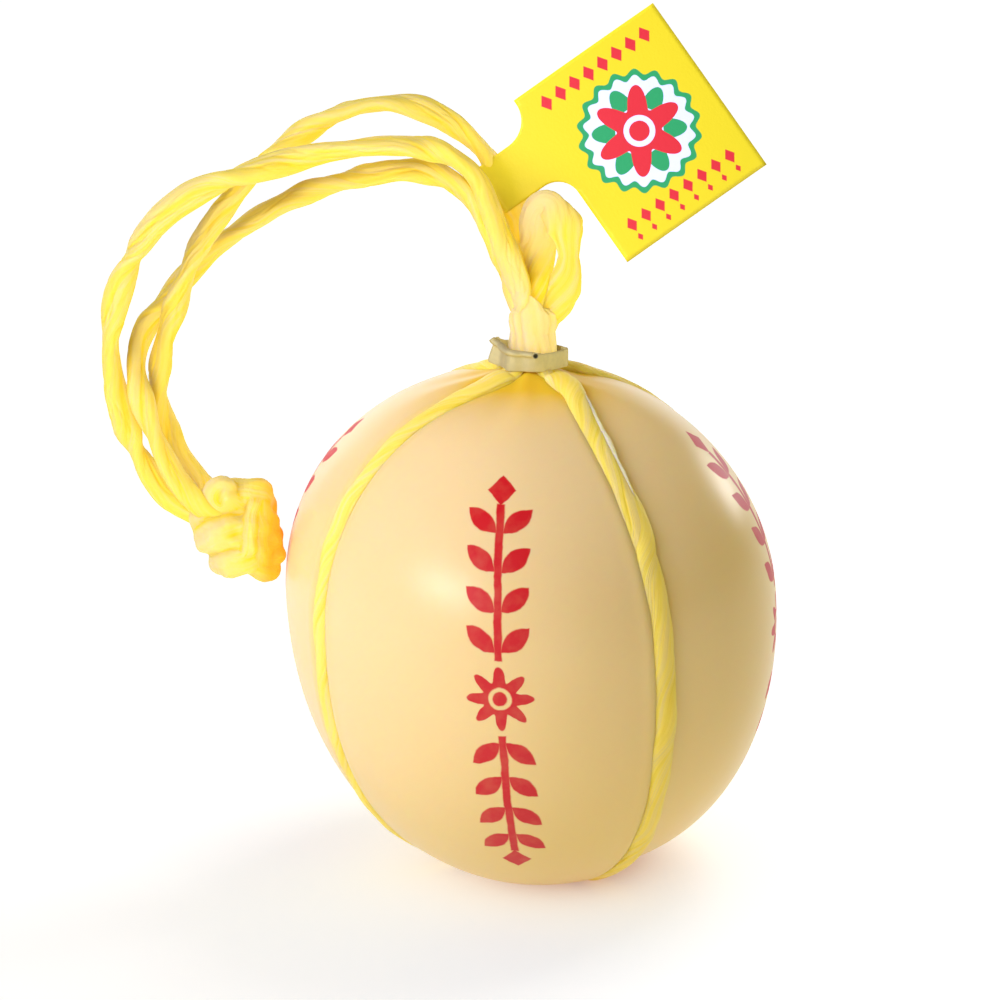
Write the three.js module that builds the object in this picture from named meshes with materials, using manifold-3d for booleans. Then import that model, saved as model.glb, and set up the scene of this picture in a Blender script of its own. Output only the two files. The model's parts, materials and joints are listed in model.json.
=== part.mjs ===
// A caciocavallo: a ball of stretched-curd cheese in a sling of twine, with a crimped band, long strands
// that end in a knot, and a card tag. Millimetres, +Z up, front towards -Y, standing on Z = 0.
// Azimuths turn from the front (-Y) towards +X, and polar angles run down from the top pole.
import * as THREE from "three";
import { LoftGeometry } from "three/addons/geometries/LoftGeometry.js";
import { mergeVertices } from "three/addons/utils/BufferGeometryUtils.js";
import Module from "manifold-3d";

const rad = THREE.MathUtils.degToRad;

// Clear space between pieces that touch, and how close points are when they count as one
const GAP = 0.3;
const WELD = 1e-4;

// Cheese: an egg that is fuller above its widest level than below it
const BALL_RADIUS = 60;
const BALL_RISE = 56.6;
const BALL_DROP = 71.5;
const RISE_POWER = 2.05;
const DROP_POWER = 2.15;
const FOOT_CUT = 3.5;
const LEAN = rad(2.4);
const CROWN_SWAY = 2;
const CROWN_REACH = rad(28);
const LOBE_DEPTH = 1.8;
const GROOVE_DEPTH = 1.9;
const GROOVE_REACH = 3.6;
const BALL_COLUMNS = 72;
const BALL_RINGS = 38;
const COLUMN_CROWDING = 0.75;
const RING_CROWDING = 0.35;
const WIDEST_Z = BALL_DROP - FOOT_CUT;

// Sling: two lengths of twine that cross under the ball and cut it into four lobes
const LOBES = 4;
const SLINGS = [
  { name: "sling_upper", azimuth: rad(33), topSwing: rad(24), footSwing: rad(4), upper: true },
  { name: "sling_lower", azimuth: rad(120), topSwing: rad(12), footSwing: rad(-6), upper: false },
];
const TOP_SWING_REACH = rad(19);
const FOOT_SWING_REACH = rad(42);
const SLING_WIDTH = 5.4;
const SLING_THICKNESS = 3;
const SLING_CLEARANCE = 0.7;
const SLING_START = rad(6.4);
const SLING_STEPS = 72;
const SLING_SIDES = 8;
const SLING_LOW = GAP + SLING_THICKNESS / 2;
const CROSSING_RISE = 3.8;
const CROSSING_REACH = 7;
const CHANNEL_REACH = 5.2;
const CHANNEL_CLEARANCE = 2.8;
const CHANNEL_LIP = 0.5;

// Band crimped round the gathered twine
const BAND_X = -0.4;
const BAND_BOTTOM = 126.4;
const BAND_HEIGHT = 5.3;
const BAND_HALF = [9.3, 5.7];
const BAND_WALL = 1;
const LAP_WALL = 0.7;
const LAP_FROM = rad(-115);
const LAP_TO = rad(-60);
const DIMPLE_RADIUS = 1;
const DIMPLE_LEVEL = 0.7;
const RING_SEGMENTS = 16;
const LAP_SEGMENTS = 5;
const DIMPLE_SEGMENTS = [10, 8];

// Gathered neck above and inside the band: height, centre and half-sizes of each level
const NECK_LEVELS = [
  { z: 126.6, x: BAND_X, y: 0, half: [7.6, 4.1] },
  { z: 132.3, x: BAND_X, y: 0, half: [7.2, 4.1] },
  { z: 136, x: -0.3, y: 0.3, half: [6, 4.8] },
  { z: 140, x: 0.4, y: 1, half: [7, 5.6] },
  { z: 143.6, x: 1.1, y: 1.5, half: [8.6, 6.6] },
];
const NECK_SIDES = 30;
const NECK_RIDGES = 5;
const NECK_RIDGE = 0.05;

// Twine of the hanging strands and of the bight at the neck
const TWINE = 5.2;
const TWINE_SIDES = 10;
const STRAND_STEPS = 34;
const BIGHT_STEPS = 26;

// Routes of the three hanging strands, from the neck over the arch to the knot
const STRAND_ROUTES = {
  strand_outer: [
    [-2.6, -3.8, 144], [-2.7, -3.9, 147], [-4.6, -4.4, 153.2], [-6.8, -4.4, 158.9], [-8.7, -4.3, 163.7],
    [-10.4, -4.2, 168.6], [-12.3, -4.2, 173.2], [-15.1, -4.4, 176.6], [-19, -4.6, 179.3], [-23.7, -4.6, 181],
    [-29.4, -4.6, 181.8], [-36, -4.6, 181.9], [-43.7, -4.8, 181.2], [-52, -5, 179.8], [-60.2, -5.6, 177.8],
    [-68.2, -6, 175.4], [-75.1, -6, 172.7], [-81.8, -6, 169.1], [-88.3, -6, 163.7], [-93.5, -5.6, 156.7],
    [-97.6, -5, 148.4], [-100, -4, 139], [-100.6, -3, 129.7], [-99.6, -2, 120.3], [-97.5, -1.2, 111.7],
    [-94.6, -0.6, 103.7], [-90.4, -0.2, 96.2], [-86.2, 0, 91.8], [-79.8, 0, 88.1],
  ],
  strand_middle: [
    [-5.2, 2, 144], [-5.4, 1.9, 147], [-6.4, 1.4, 151.8], [-8.2, 1.1, 156.8], [-10.8, 1, 162],
    [-14, 1.2, 166.8], [-17.6, 1.5, 170.8], [-22, 1.8, 173.4], [-27.6, 2.2, 174.4], [-34.6, 2.8, 173.9],
    [-44.4, 4, 171.2], [-56.4, 5.5, 166.4], [-66.4, 6.8, 160.6], [-73.7, 7.4, 155.2], [-79.3, 7.4, 150.3],
    [-84, 7, 145.6], [-88.3, 6, 140.6], [-92, 4.4, 135.4], [-94.2, 2.2, 130.6], [-94.8, -0.6, 126],
    [-94, -2.8, 121.2], [-92.8, -3.6, 116.6], [-91, -4, 111.2], [-88.6, -4.4, 105.2], [-85.3, -4.8, 98.8],
    [-80.4, -4.7, 92.5],
  ],
  strand_inner: [
    [0.6, 6.2, 144], [0.6, 6.5, 147], [0.1, 7.8, 152], [-1.4, 8.9, 157.8], [-3.7, 9.8, 163.7],
    [-6.7, 10.4, 169.6], [-10.1, 10, 175], [-14, 8.6, 179.6], [-18, 7, 183.4], [-22.4, 5.6, 186.6],
    [-27.6, 4.6, 189], [-33.3, 3.8, 190.1], [-39.9, 3, 189.7], [-46.5, 2.4, 187.7], [-53.1, 2, 184.3],
    [-59.4, 1.6, 179.9], [-65, 1.2, 174.8], [-69.8, 0.9, 169.2], [-74.2, 0.7, 163.4], [-77.9, 0.5, 158],
    [-81, 0.3, 152.4], [-84, 0.5, 144.8], [-86.5, 1.2, 137.4], [-88.4, 2, 130.9], [-89.6, 2.8, 124.5],
    [-89.9, 3.4, 118.6], [-88.8, 3.8, 112.3], [-86.2, 3.8, 105.9], [-82.8, 3.4, 100], [-78.8, 3, 95],
  ],
};

// Folded bight of twine on the right of the neck
const BIGHT_ROUTE = [
  [7.6, 0.4, 144], [7.8, 0.4, 146], [8.6, 0.2, 149], [8.7, 0.2, 152.2], [8.5, 0.4, 155], [9, 0.6, 158.4],
  [8.3, 0.8, 162], [6, 1, 165.4], [3.7, 0.8, 166.4], [1.8, 0.2, 164.6], [1.4, -0.4, 161.2],
  [2.2, -0.9, 156.9], [2.7, -1.2, 152.5], [2.5, -1.3, 147], [2.5, -1.3, 144],
];

// Knot: a core with two wraps round the strands' own line, and four cut ends that fan out towards the ball
const KNOT_CENTRE = [-70.6, 0, 85.6];
const KNOT_CORE = 8;
const CORE_SEGMENTS = [16, 10];
const KNOT_WRAPS = [
  { ring: 6, tube: 3.9, turn: rad(107), shift: [-5.5, 0, 2] },
  { ring: 7.4, tube: 3.9, turn: rad(112), shift: [2, 0, -0.8] },
];
const WRAP_SEGMENTS = [10, 24];
const CUT_ENDS = [
  { drop: rad(-28), aside: rad(-14), length: 9.4 },
  { drop: rad(8), aside: rad(20), length: 9.2 },
  { drop: rad(44), aside: rad(-6), length: 13 },
  { drop: rad(72), aside: rad(10), length: 13 },
];
const CUT_END_RADIUS = 2.7;
const CUT_END_SIDES = 10;

// Card tag: a plate with a tab that is slipped between the strands
const TAG_SIZE = [40.5, 47.1];
const TAG_THICKNESS = 0.5;
const TAB_FROM = 8.1;
const TAB_TO = 20.9;
const TAB_LENGTH = 17;
const TAB_ARC_TOP = 7.2;
const TAB_ARC_BOTTOM = 5.8;
const ARC_SEGMENTS = 6;
const TAG_CORNER = [-4.3, 11.4, 188.9];
const TAG_TILT = rad(70);
const TAG_TURN = rad(35.2);

const MATERIALS = {
  cheese: { color: 0xe9cb8c, roughness: 0.42, metalness: 0 },
  twine: { color: 0xfbe36a, roughness: 0.5, metalness: 0 },
  band: { color: 0xc4baa0, roughness: 0.35, metalness: 1 },
  tag: { color: 0xfde93a, roughness: 0.45, metalness: 0 },
};

const wasm = await Module();
wasm.setup();

const part = new THREE.Group();

function addPiece(name, geometry, material) {
  const mesh = new THREE.Mesh(geometry, new THREE.MeshStandardMaterial(MATERIALS[material]));
  mesh.name = name;
  part.add(mesh);
  return mesh;
}

// A geometry as a solid for joining, with its shared vertices merged
function toSolid(geometry) {
  const bare = geometry.clone();
  bare.deleteAttribute("normal");
  bare.deleteAttribute("uv");
  const merged = mergeVertices(bare, WELD);
  return new wasm.Manifold(
    new wasm.Mesh({
      numProp: 3,
      vertProperties: new Float32Array(merged.attributes.position.array),
      triVerts: new Uint32Array(merged.index.array),
    }),
  );
}

function join(geometries) {
  const mesh = geometries
    .map(toSolid)
    .reduce((whole, piece) => whole.add(piece))
    .getMesh();
  const geometry = new THREE.BufferGeometry();
  geometry.setAttribute("position", new THREE.BufferAttribute(mesh.vertProperties, 3));
  geometry.setIndex(new THREE.BufferAttribute(mesh.triVerts, 1));
  geometry.computeVertexNormals();
  return geometry;
}

function bell(distance, reach) {
  return Math.exp(-((distance / reach) ** 2));
}

// Distance from the ball's centre to the egg's surface, before lobes and grooves
function eggRadius(polar) {
  const across = Math.sin(polar) / BALL_RADIUS;
  const up = Math.cos(polar);
  const [reach, power] = up > 0 ? [BALL_RISE, RISE_POWER] : [BALL_DROP, DROP_POWER];
  return (across ** power + (Math.abs(up) / reach) ** power) ** (-1 / power);
}

// Distance from the centre to the bottom of a twine groove
function grooveRadius(polar) {
  return eggRadius(polar) - LOBE_DEPTH * Math.sin(polar) ** 2 - GROOVE_DEPTH;
}

// Height of a sling cord's centre where it runs under the ball, the upper one humped over the lower
function underHeight(offset, upper) {
  return SLING_LOW + (upper ? CROSSING_RISE * bell(offset, CROSSING_REACH) : 0);
}

// Azimuth of a sling cord, which swings towards the band's long axis at the top and a little at the foot
function slingAzimuth(sling, polar) {
  const top = sling.topSwing * bell(polar, TOP_SWING_REACH);
  return sling.azimuth + top + sling.footSwing * bell(Math.PI - polar, FOOT_SWING_REACH);
}

// Height of the channel that the ball's foot leaves for the cords
function channelHeight(polar, azimuth, rho) {
  const roof = SLING_THICKNESS / 2 + CHANNEL_CLEARANCE;
  const heights = SLINGS.map((sling) => {
    const turn = azimuth - slingAzimuth(sling, polar);
    const along = rho * Math.cos(turn);
    const aside = rho * Math.sin(turn);
    return (underHeight(along, sling.upper) + roof) * bell(aside, CHANNEL_REACH) - CHANNEL_LIP;
  });
  return Math.max(0, ...heights);
}

function cheeseRadius(polar, azimuth) {
  const egg = eggRadius(polar);
  const rho = egg * Math.sin(polar);
  const valley = 0.5 + 0.5 * Math.cos(LOBES * (azimuth - SLINGS[0].azimuth));
  const lobed = egg - LOBE_DEPTH * valley * Math.sin(polar) ** 2;
  const asides = SLINGS.map((sling) => Math.abs(rho * Math.sin(azimuth - slingAzimuth(sling, polar))));
  const grooved = lobed - GROOVE_DEPTH * bell(Math.min(...asides), GROOVE_REACH);
  const up = Math.cos(polar);
  return up < 0 ? Math.min(grooved, (WIDEST_Z - channelHeight(polar, azimuth, rho)) / -up) : grooved;
}

// A point of the ball's own polar frame, sheared by the ball's lean and swayed back at the crown
function ballPoint(polar, azimuth, radius) {
  const rise = radius * Math.cos(polar);
  const rho = radius * Math.sin(polar);
  return new THREE.Vector3(
    rho * Math.sin(azimuth) - rise * Math.tan(LEAN) + CROWN_SWAY * bell(polar, CROWN_REACH),
    -rho * Math.cos(azimuth),
    WIDEST_Z + rise,
  );
}

// A share from 0 to 1, moved so that even steps crowd together at both ends
function crowd(share, amount) {
  return share - (amount * Math.sin(2 * Math.PI * share)) / (2 * Math.PI);
}

// Turn of a column of the ball: columns crowd together beside each cord
function columnTurn(share) {
  const cell = Math.floor(share * LOBES);
  return (2 * Math.PI * (cell + crowd(share * LOBES - cell, COLUMN_CROWDING))) / LOBES;
}

function makeCheese() {
  const geometry = new THREE.SphereGeometry(1, BALL_COLUMNS, BALL_RINGS);
  const { position, uv } = geometry.attributes;
  for (let i = 0; i < position.count; i += 1) {
    const polar = Math.PI * crowd(1 - uv.getY(i), RING_CROWDING);
    const atPole = polar < WELD || polar > Math.PI - WELD;
    const share = atPole ? 0 : Math.round(uv.getX(i) * BALL_COLUMNS) / BALL_COLUMNS;
    const azimuth = SLINGS[0].azimuth + columnTurn(share % 1);
    const point = ballPoint(polar, azimuth, cheeseRadius(polar, azimuth));
    position.setXYZ(i, point.x, point.y, point.z);
  }
  geometry.computeVertexNormals();
  addPiece("cheese", geometry, "cheese");
}

// Centre of a sling cord at a polar angle that runs on past the lower pole and up the other side
function slingCentre(sling, sweep) {
  const polar = sweep <= Math.PI ? sweep : 2 * Math.PI - sweep;
  const azimuth = slingAzimuth(sling, polar) + (sweep <= Math.PI ? 0 : Math.PI);
  let radius = grooveRadius(polar) + SLING_CLEARANCE + SLING_THICKNESS / 2;
  if (Math.cos(polar) < 0) {
    const offset = WIDEST_Z * Math.tan(Math.PI - polar);
    radius = Math.min(radius, (WIDEST_Z - underHeight(offset, sling.upper)) / -Math.cos(polar));
  }
  return ballPoint(polar, azimuth, radius);
}

function makeSling(sling) {
  const sweeps = Array.from(
    { length: SLING_STEPS + 1 },
    (_, i) => SLING_START + ((2 * Math.PI - 2 * SLING_START) * i) / SLING_STEPS,
  );
  const centres = sweeps.map((sweep) => slingCentre(sling, sweep));
  const middle = new THREE.Vector3(0, 0, WIDEST_Z);
  const sections = centres.map((centre, i) => {
    const before = centres[Math.max(i - 1, 0)];
    const after = centres[Math.min(i + 1, centres.length - 1)];
    const along = after.clone().sub(before).normalize();
    const aside = along.clone().cross(middle.clone().sub(centre)).normalize();
    const inward = aside.clone().cross(along);
    return Array.from({ length: SLING_SIDES }, (_, k) => {
      const angle = (2 * Math.PI * k) / SLING_SIDES;
      return centre
        .clone()
        .addScaledVector(inward, (Math.cos(angle) * SLING_THICKNESS) / 2)
        .addScaledVector(aside, (Math.sin(angle) * SLING_WIDTH) / 2);
    });
  });
  addPiece(sling.name, new LoftGeometry(sections, { capStart: true, capEnd: true }), "twine");
}

function ovalRing(outer, inner, from, to) {
  const shape = new THREE.Shape();
  shape.absellipse(0, 0, outer[0], outer[1], from, to, false);
  if (to - from < 2 * Math.PI) {
    shape.absellipse(0, 0, inner[0], inner[1], to, from, true);
  } else {
    shape.holes.push(new THREE.Path().absellipse(0, 0, inner[0], inner[1], 0, 2 * Math.PI, true));
  }
  return shape;
}

function makeBand() {
  const grow = (half, by) => half.map((value) => value + by);
  const settings = { depth: BAND_HEIGHT, bevelEnabled: false };
  const ring = new THREE.ExtrudeGeometry(
    ovalRing(BAND_HALF, grow(BAND_HALF, -BAND_WALL), 0, 2 * Math.PI),
    { ...settings, curveSegments: RING_SEGMENTS },
  );
  const lap = new THREE.ExtrudeGeometry(
    ovalRing(grow(BAND_HALF, LAP_WALL), grow(BAND_HALF, -BAND_WALL / 2), LAP_FROM, LAP_TO),
    { ...settings, curveSegments: LAP_SEGMENTS },
  );
  const dimple = new THREE.SphereGeometry(DIMPLE_RADIUS, ...DIMPLE_SEGMENTS);
  dimple.translate(0, -BAND_HALF[1] - LAP_WALL, BAND_HEIGHT * DIMPLE_LEVEL);
  const mesh = addPiece("band", join([ring, lap, dimple]), "band");
  mesh.position.set(BAND_X, 0, BAND_BOTTOM);
}

function makeNeck() {
  const sections = NECK_LEVELS.map(({ z, x, y, half }) =>
    Array.from({ length: NECK_SIDES }, (_, k) => {
      const angle = (2 * Math.PI * k) / NECK_SIDES;
      const ridge = 1 - NECK_RIDGE * (1 - Math.abs(Math.cos((NECK_RIDGES * angle) / 2)));
      const across = half[0] * ridge * Math.cos(angle);
      const deep = half[1] * ridge * Math.sin(angle);
      return new THREE.Vector3(x + across, y + deep, z);
    }),
  );
  addPiece("neck", new LoftGeometry(sections, { capStart: true, capEnd: true }), "twine");
}

function makeTwine(name, route, steps) {
  const path = new THREE.CatmullRomCurve3(route.map((point) => new THREE.Vector3(...point)));
  const section = new THREE.Shape().absarc(0, 0, TWINE / 2, 0, 2 * Math.PI);
  const geometry = new THREE.ExtrudeGeometry(section, {
    extrudePath: path,
    steps,
    curveSegments: TWINE_SIDES / 2,
  });
  addPiece(name, geometry, "twine");
}

function makeKnot() {
  const pieces = [new THREE.SphereGeometry(KNOT_CORE, ...CORE_SEGMENTS)];
  for (const { ring, tube, turn, shift } of KNOT_WRAPS) {
    pieces.push(new THREE.TorusGeometry(ring, tube, ...WRAP_SEGMENTS).rotateY(turn).translate(...shift));
  }
  for (const { drop, aside, length } of CUT_ENDS) {
    const end = new THREE.CylinderGeometry(CUT_END_RADIUS, CUT_END_RADIUS, length, CUT_END_SIDES);
    end.translate(0, length / 2, 0).rotateZ(aside - Math.PI / 2).rotateY(drop);
    pieces.push(end);
  }
  addPiece("knot", join(pieces), "twine").position.set(...KNOT_CENTRE);
}

function makeTag() {
  const [width, height] = TAG_SIZE;
  const outline = new THREE.Shape();
  outline.moveTo(0, 0);
  outline.absarc(-TAB_ARC_TOP, TAB_ARC_TOP - TAB_FROM, TAB_ARC_TOP, 0, -Math.PI / 2, true);
  outline.lineTo(-TAB_LENGTH, -TAB_FROM);
  outline.lineTo(-TAB_LENGTH, -TAB_TO);
  outline.absarc(-TAB_ARC_BOTTOM, -TAB_TO - TAB_ARC_BOTTOM, TAB_ARC_BOTTOM, Math.PI / 2, 0, true);
  outline.lineTo(0, -height);
  outline.lineTo(width, -height);
  outline.lineTo(width, 0);
  const geometry = new THREE.ExtrudeGeometry(outline, {
    depth: TAG_THICKNESS,
    bevelEnabled: false,
    curveSegments: ARC_SEGMENTS,
  });
  const mesh = addPiece("tag", geometry, "tag");
  mesh.position.set(...TAG_CORNER);
  mesh.rotation.set(TAG_TILT, 0, TAG_TURN);
}

makeCheese();
SLINGS.forEach(makeSling);
makeBand();
makeNeck();
makeTwine("bight", BIGHT_ROUTE, BIGHT_STEPS);
for (const [name, route] of Object.entries(STRAND_ROUTES)) {
  makeTwine(name, route, STRAND_STEPS);
}
makeKnot();
makeTag();

export default part;
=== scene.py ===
"""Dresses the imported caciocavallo: a ball of stretched-curd cheese in a twine sling, with its band, strands,
knot and card tag, on a white studio floor. Metres, +Z up, front towards -Y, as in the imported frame.
Azimuths turn from the front (-Y) towards +X, and polar angles run down from the ball's top pole."""
import json
import math
from typing import NamedTuple

import bpy
import numpy as np
from bpy.props import FloatProperty, FloatVectorProperty, PointerProperty
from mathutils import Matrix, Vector

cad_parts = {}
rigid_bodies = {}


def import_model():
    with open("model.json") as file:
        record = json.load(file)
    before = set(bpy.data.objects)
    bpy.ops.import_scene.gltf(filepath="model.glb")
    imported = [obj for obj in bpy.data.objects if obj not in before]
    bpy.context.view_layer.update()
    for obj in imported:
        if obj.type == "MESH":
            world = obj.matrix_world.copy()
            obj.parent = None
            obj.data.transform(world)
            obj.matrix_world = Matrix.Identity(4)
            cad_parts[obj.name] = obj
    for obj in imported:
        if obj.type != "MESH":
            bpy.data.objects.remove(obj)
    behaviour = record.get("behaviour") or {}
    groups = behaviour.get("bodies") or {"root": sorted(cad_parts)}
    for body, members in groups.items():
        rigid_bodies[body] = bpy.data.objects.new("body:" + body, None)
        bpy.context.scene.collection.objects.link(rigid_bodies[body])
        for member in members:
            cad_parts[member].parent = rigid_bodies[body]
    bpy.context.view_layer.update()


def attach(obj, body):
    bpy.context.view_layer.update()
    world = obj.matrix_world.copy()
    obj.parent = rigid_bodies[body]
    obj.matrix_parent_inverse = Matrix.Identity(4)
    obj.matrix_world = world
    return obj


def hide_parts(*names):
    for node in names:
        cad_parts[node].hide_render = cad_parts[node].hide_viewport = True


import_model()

bl_info = {
    "name": "Caciocavallo",
    "version": (1, 0, 0),
    "blender": (4, 5, 0),
    "location": "3D View > Sidebar > Cheese",
    "description": "Builds a ball-shaped cheese with its twine sling, band, knot and tag",
    "category": "Add Mesh",
}

TURN = 2 * math.pi
MM = 0.001
rad = math.radians

# Ball: an egg that is fuller above its widest level than below it, cut flat at its foot
RISE_POWER = 2.05
DROP_POWER = 2.15
CROWN_SWAY = 0.002
CROWN_REACH = rad(28)
LOBES = 4
FOOT_COSINE = 0.5

# Step in the skin beside the front right cord
STEP_DEPTH = 0.0013
STEP_EDGE = 0.0026
STEP_REACH = 0.022
STEP_TOP = rad(14)
STEP_LOW = 0.5
STEP_LOW_PLACE = rad(142)
STEP_LOW_REACH = rad(26)

# Grooves that the cords press in, the lips beside them and the painted shade in them
GROOVE_REACH = 0.0022
GROOVE_SHADE_REACH = 0.0042
LIP_HEIGHT = 0.0002
LIP_PLACE = 0.0044
LIP_REACH = 0.0016

# Nub under the band
NUB_HEIGHT = 0.0032
NUB_REACH = rad(8)

# Pleats round the nub: the share, count and start of each wave, and the polar sine where they are full
PLEAT_WAVES = ((1.0, 9, 0.0), (0.6, 14, 1.3))
PLEAT_HEIGHT = 0.00015
PLEAT_REACH = rad(17)
PLEAT_FULL_SINE = 0.3

# Mesh of the ball, with columns crowded at the cords and rings at the poles
BALL_COLUMNS = 352
BALL_RINGS = 210
COLUMN_CROWDING = 0.72
RING_CROWDING = 0.35
POLE_GAP = 0.0005

# Painted golden shade at the crown, under the band and the gathered twine, which reaches furthest on the right
GOLD_REACH = rad(17)
CROWN_SHADE_SPREAD = rad(4)
CROWN_SHADE_AZIMUTH = rad(104)
GOLD_WIDTH = rad(32)


class Sling(NamedTuple):
    """One length of twine that runs from the band under the ball and back."""

    node: str
    azimuth: float
    top_swing: float
    foot_swing: float
    foot_reach: float
    upper: bool
    seed: int


SLINGS = (
    Sling("sling_upper", rad(33), rad(24), rad(4), rad(42), True, 11),
    Sling("sling_lower", rad(120), rad(12), rad(-11), rad(50), False, 12),
)

# Course of a sling cord over the crown, in its groove and under the ball
TOP_SWING_REACH = rad(19)
SLING_START = rad(6.4)
SLING_POINTS = 180
SLING_SINK = -0.0005
CROWN_LIFT = 0.0014
CROWN_LIFT_REACH = rad(16)
SLING_THICKNESS = 0.003
SLING_LOW = 0.0018
CROSSING_RISE = 0.0038
CROSSING_REACH = 0.007
CHANNEL_REACH = 0.0052
CHANNEL_CLEARANCE = 0.0028
CHANNEL_LIP = 0.0005

# Band round the gathered twine
BAND_X = -0.0004
BAND_BOTTOM = 0.1264
BAND_HALF = (0.0093, 0.0057)

# Routes of the three hanging strands, from inside the band over the arch into the knot
STRAND_ROUTES = {
    "strand_outer": (
        (-0.0022, 0.0006, 0.1295), (-0.0026, 0.0002, 0.1366), (-0.0026, -0.0038, 0.1440),
        (-0.0027, -0.0039, 0.1470), (-0.0046, -0.0044, 0.1532), (-0.0068, -0.0044, 0.1589),
        (-0.0087, -0.0043, 0.1637), (-0.0104, -0.0042, 0.1686), (-0.0123, -0.0042, 0.1732),
        (-0.0151, -0.0044, 0.1766), (-0.0190, -0.0046, 0.1793), (-0.0237, -0.0046, 0.1810),
        (-0.0294, -0.0046, 0.1818), (-0.0360, -0.0046, 0.1819), (-0.0437, -0.0048, 0.1812),
        (-0.0520, -0.0050, 0.1798), (-0.0602, -0.0056, 0.1778), (-0.0682, -0.0060, 0.1754),
        (-0.0751, -0.0060, 0.1727), (-0.0818, -0.0060, 0.1691), (-0.0883, -0.0060, 0.1637),
        (-0.0935, -0.0056, 0.1567), (-0.0976, -0.0050, 0.1484), (-0.1000, -0.0040, 0.1390),
        (-0.1006, -0.0030, 0.1297), (-0.0996, -0.0020, 0.1203), (-0.0975, -0.0012, 0.1117),
        (-0.0946, -0.0006, 0.1037), (-0.0904, -0.0002, 0.0962), (-0.0862, 0.0000, 0.0918),
        (-0.0798, 0.0000, 0.0881), (-0.0745, 0.0000, 0.0865),
    ),
    "strand_middle": (
        (-0.0026, 0.0012, 0.1295), (-0.0030, 0.0014, 0.1366), (-0.0052, 0.0020, 0.1440),
        (-0.0054, 0.0019, 0.1470), (-0.0064, 0.0014, 0.1518), (-0.0082, 0.0011, 0.1568),
        (-0.0108, 0.0010, 0.1620), (-0.0140, 0.0012, 0.1668), (-0.0176, 0.0015, 0.1708),
        (-0.0220, 0.0018, 0.1734), (-0.0276, 0.0022, 0.1744), (-0.0346, 0.0028, 0.1739),
        (-0.0444, 0.0040, 0.1712), (-0.0564, 0.0055, 0.1664), (-0.0664, 0.0068, 0.1606),
        (-0.0737, 0.0074, 0.1552), (-0.0793, 0.0074, 0.1503), (-0.0840, 0.0070, 0.1456),
        (-0.0883, 0.0060, 0.1406), (-0.0920, 0.0044, 0.1354), (-0.0942, 0.0022, 0.1306),
        (-0.0948, -0.0006, 0.1260), (-0.0940, -0.0028, 0.1212), (-0.0928, -0.0036, 0.1166),
        (-0.0910, -0.0040, 0.1112), (-0.0886, -0.0044, 0.1052), (-0.0853, -0.0048, 0.0988),
        (-0.0804, -0.0047, 0.0925), (-0.0755, -0.0040, 0.0885),
    ),
    "strand_inner": (
        (0.0000, 0.0014, 0.1295), (0.0002, 0.0024, 0.1366), (0.0006, 0.0056, 0.1440),
        (0.0006, 0.0065, 0.1470), (0.0001, 0.0078, 0.1520), (-0.0014, 0.0089, 0.1578),
        (-0.0037, 0.0098, 0.1637), (-0.0067, 0.0104, 0.1696), (-0.0101, 0.0100, 0.1750),
        (-0.0140, 0.0086, 0.1796), (-0.0180, 0.0070, 0.1834), (-0.0224, 0.0056, 0.1866),
        (-0.0276, 0.0046, 0.1890), (-0.0333, 0.0038, 0.1901), (-0.0399, 0.0030, 0.1897),
        (-0.0465, 0.0024, 0.1877), (-0.0531, 0.0020, 0.1843), (-0.0594, 0.0016, 0.1799),
        (-0.0650, 0.0012, 0.1748), (-0.0698, 0.0009, 0.1692), (-0.0742, 0.0007, 0.1634),
        (-0.0779, 0.0005, 0.1580), (-0.0810, 0.0003, 0.1524), (-0.0840, 0.0005, 0.1448),
        (-0.0865, 0.0012, 0.1374), (-0.0884, 0.0020, 0.1309), (-0.0896, 0.0028, 0.1245),
        (-0.0899, 0.0034, 0.1186), (-0.0888, 0.0038, 0.1123), (-0.0862, 0.0038, 0.1059),
        (-0.0828, 0.0034, 0.1000), (-0.0788, 0.0030, 0.0950), (-0.0745, 0.0020, 0.0900),
    ),
}

# Folded bight of twine on the right of the neck: the points of its route, each with half the film's width
BIGHT_ROUTE = (
    (0.0032, 0.0002, 0.1295, 0.0021), (0.0036, -0.0010, 0.1368, 0.0026), (0.0054, -0.0024, 0.1418, 0.0037),
    (0.0073, -0.0024, 0.1464, 0.0038), (0.0084, -0.0022, 0.1508, 0.0028), (0.0087, -0.0020, 0.1542, 0.0023),
    (0.0086, -0.0018, 0.1574, 0.0029), (0.0078, -0.0014, 0.1613, 0.0044), (0.0058, -0.0008, 0.1646, 0.0042),
    (0.0036, 0.0002, 0.1668, 0.0036), (0.0009, 0.0010, 0.1650, 0.0032), (0.0001, 0.0012, 0.1612, 0.0032),
    (0.0012, 0.0010, 0.1574, 0.0036), (0.0016, 0.0002, 0.1540, 0.0034), (0.0016, -0.0012, 0.1504, 0.0036),
    (0.0014, -0.0024, 0.1468, 0.0034), (0.0010, -0.0020, 0.1366, 0.0022), (0.0006, -0.0010, 0.1295, 0.0020),
)

# Knot: its core and the turns of twine laid round it, then its short cut ends, all from the knot's centre
KNOT_CENTRE = (-0.0708, 0.0, 0.0850)


class KnotTurn(NamedTuple):
    """One length of twine in the knot, with half its width."""

    reach: float
    points: tuple


def round_turn(centre, reach, first, last, drift, count=9):
    """Points of a round turn of twine that faces the front and drifts forwards or back."""
    turns = np.linspace(first, last, count)
    share = np.linspace(0, 1, count)
    return zip(
        centre[0] + reach * np.cos(turns), centre[1] + drift * share, centre[2] + reach * np.sin(turns)
    )


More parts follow.
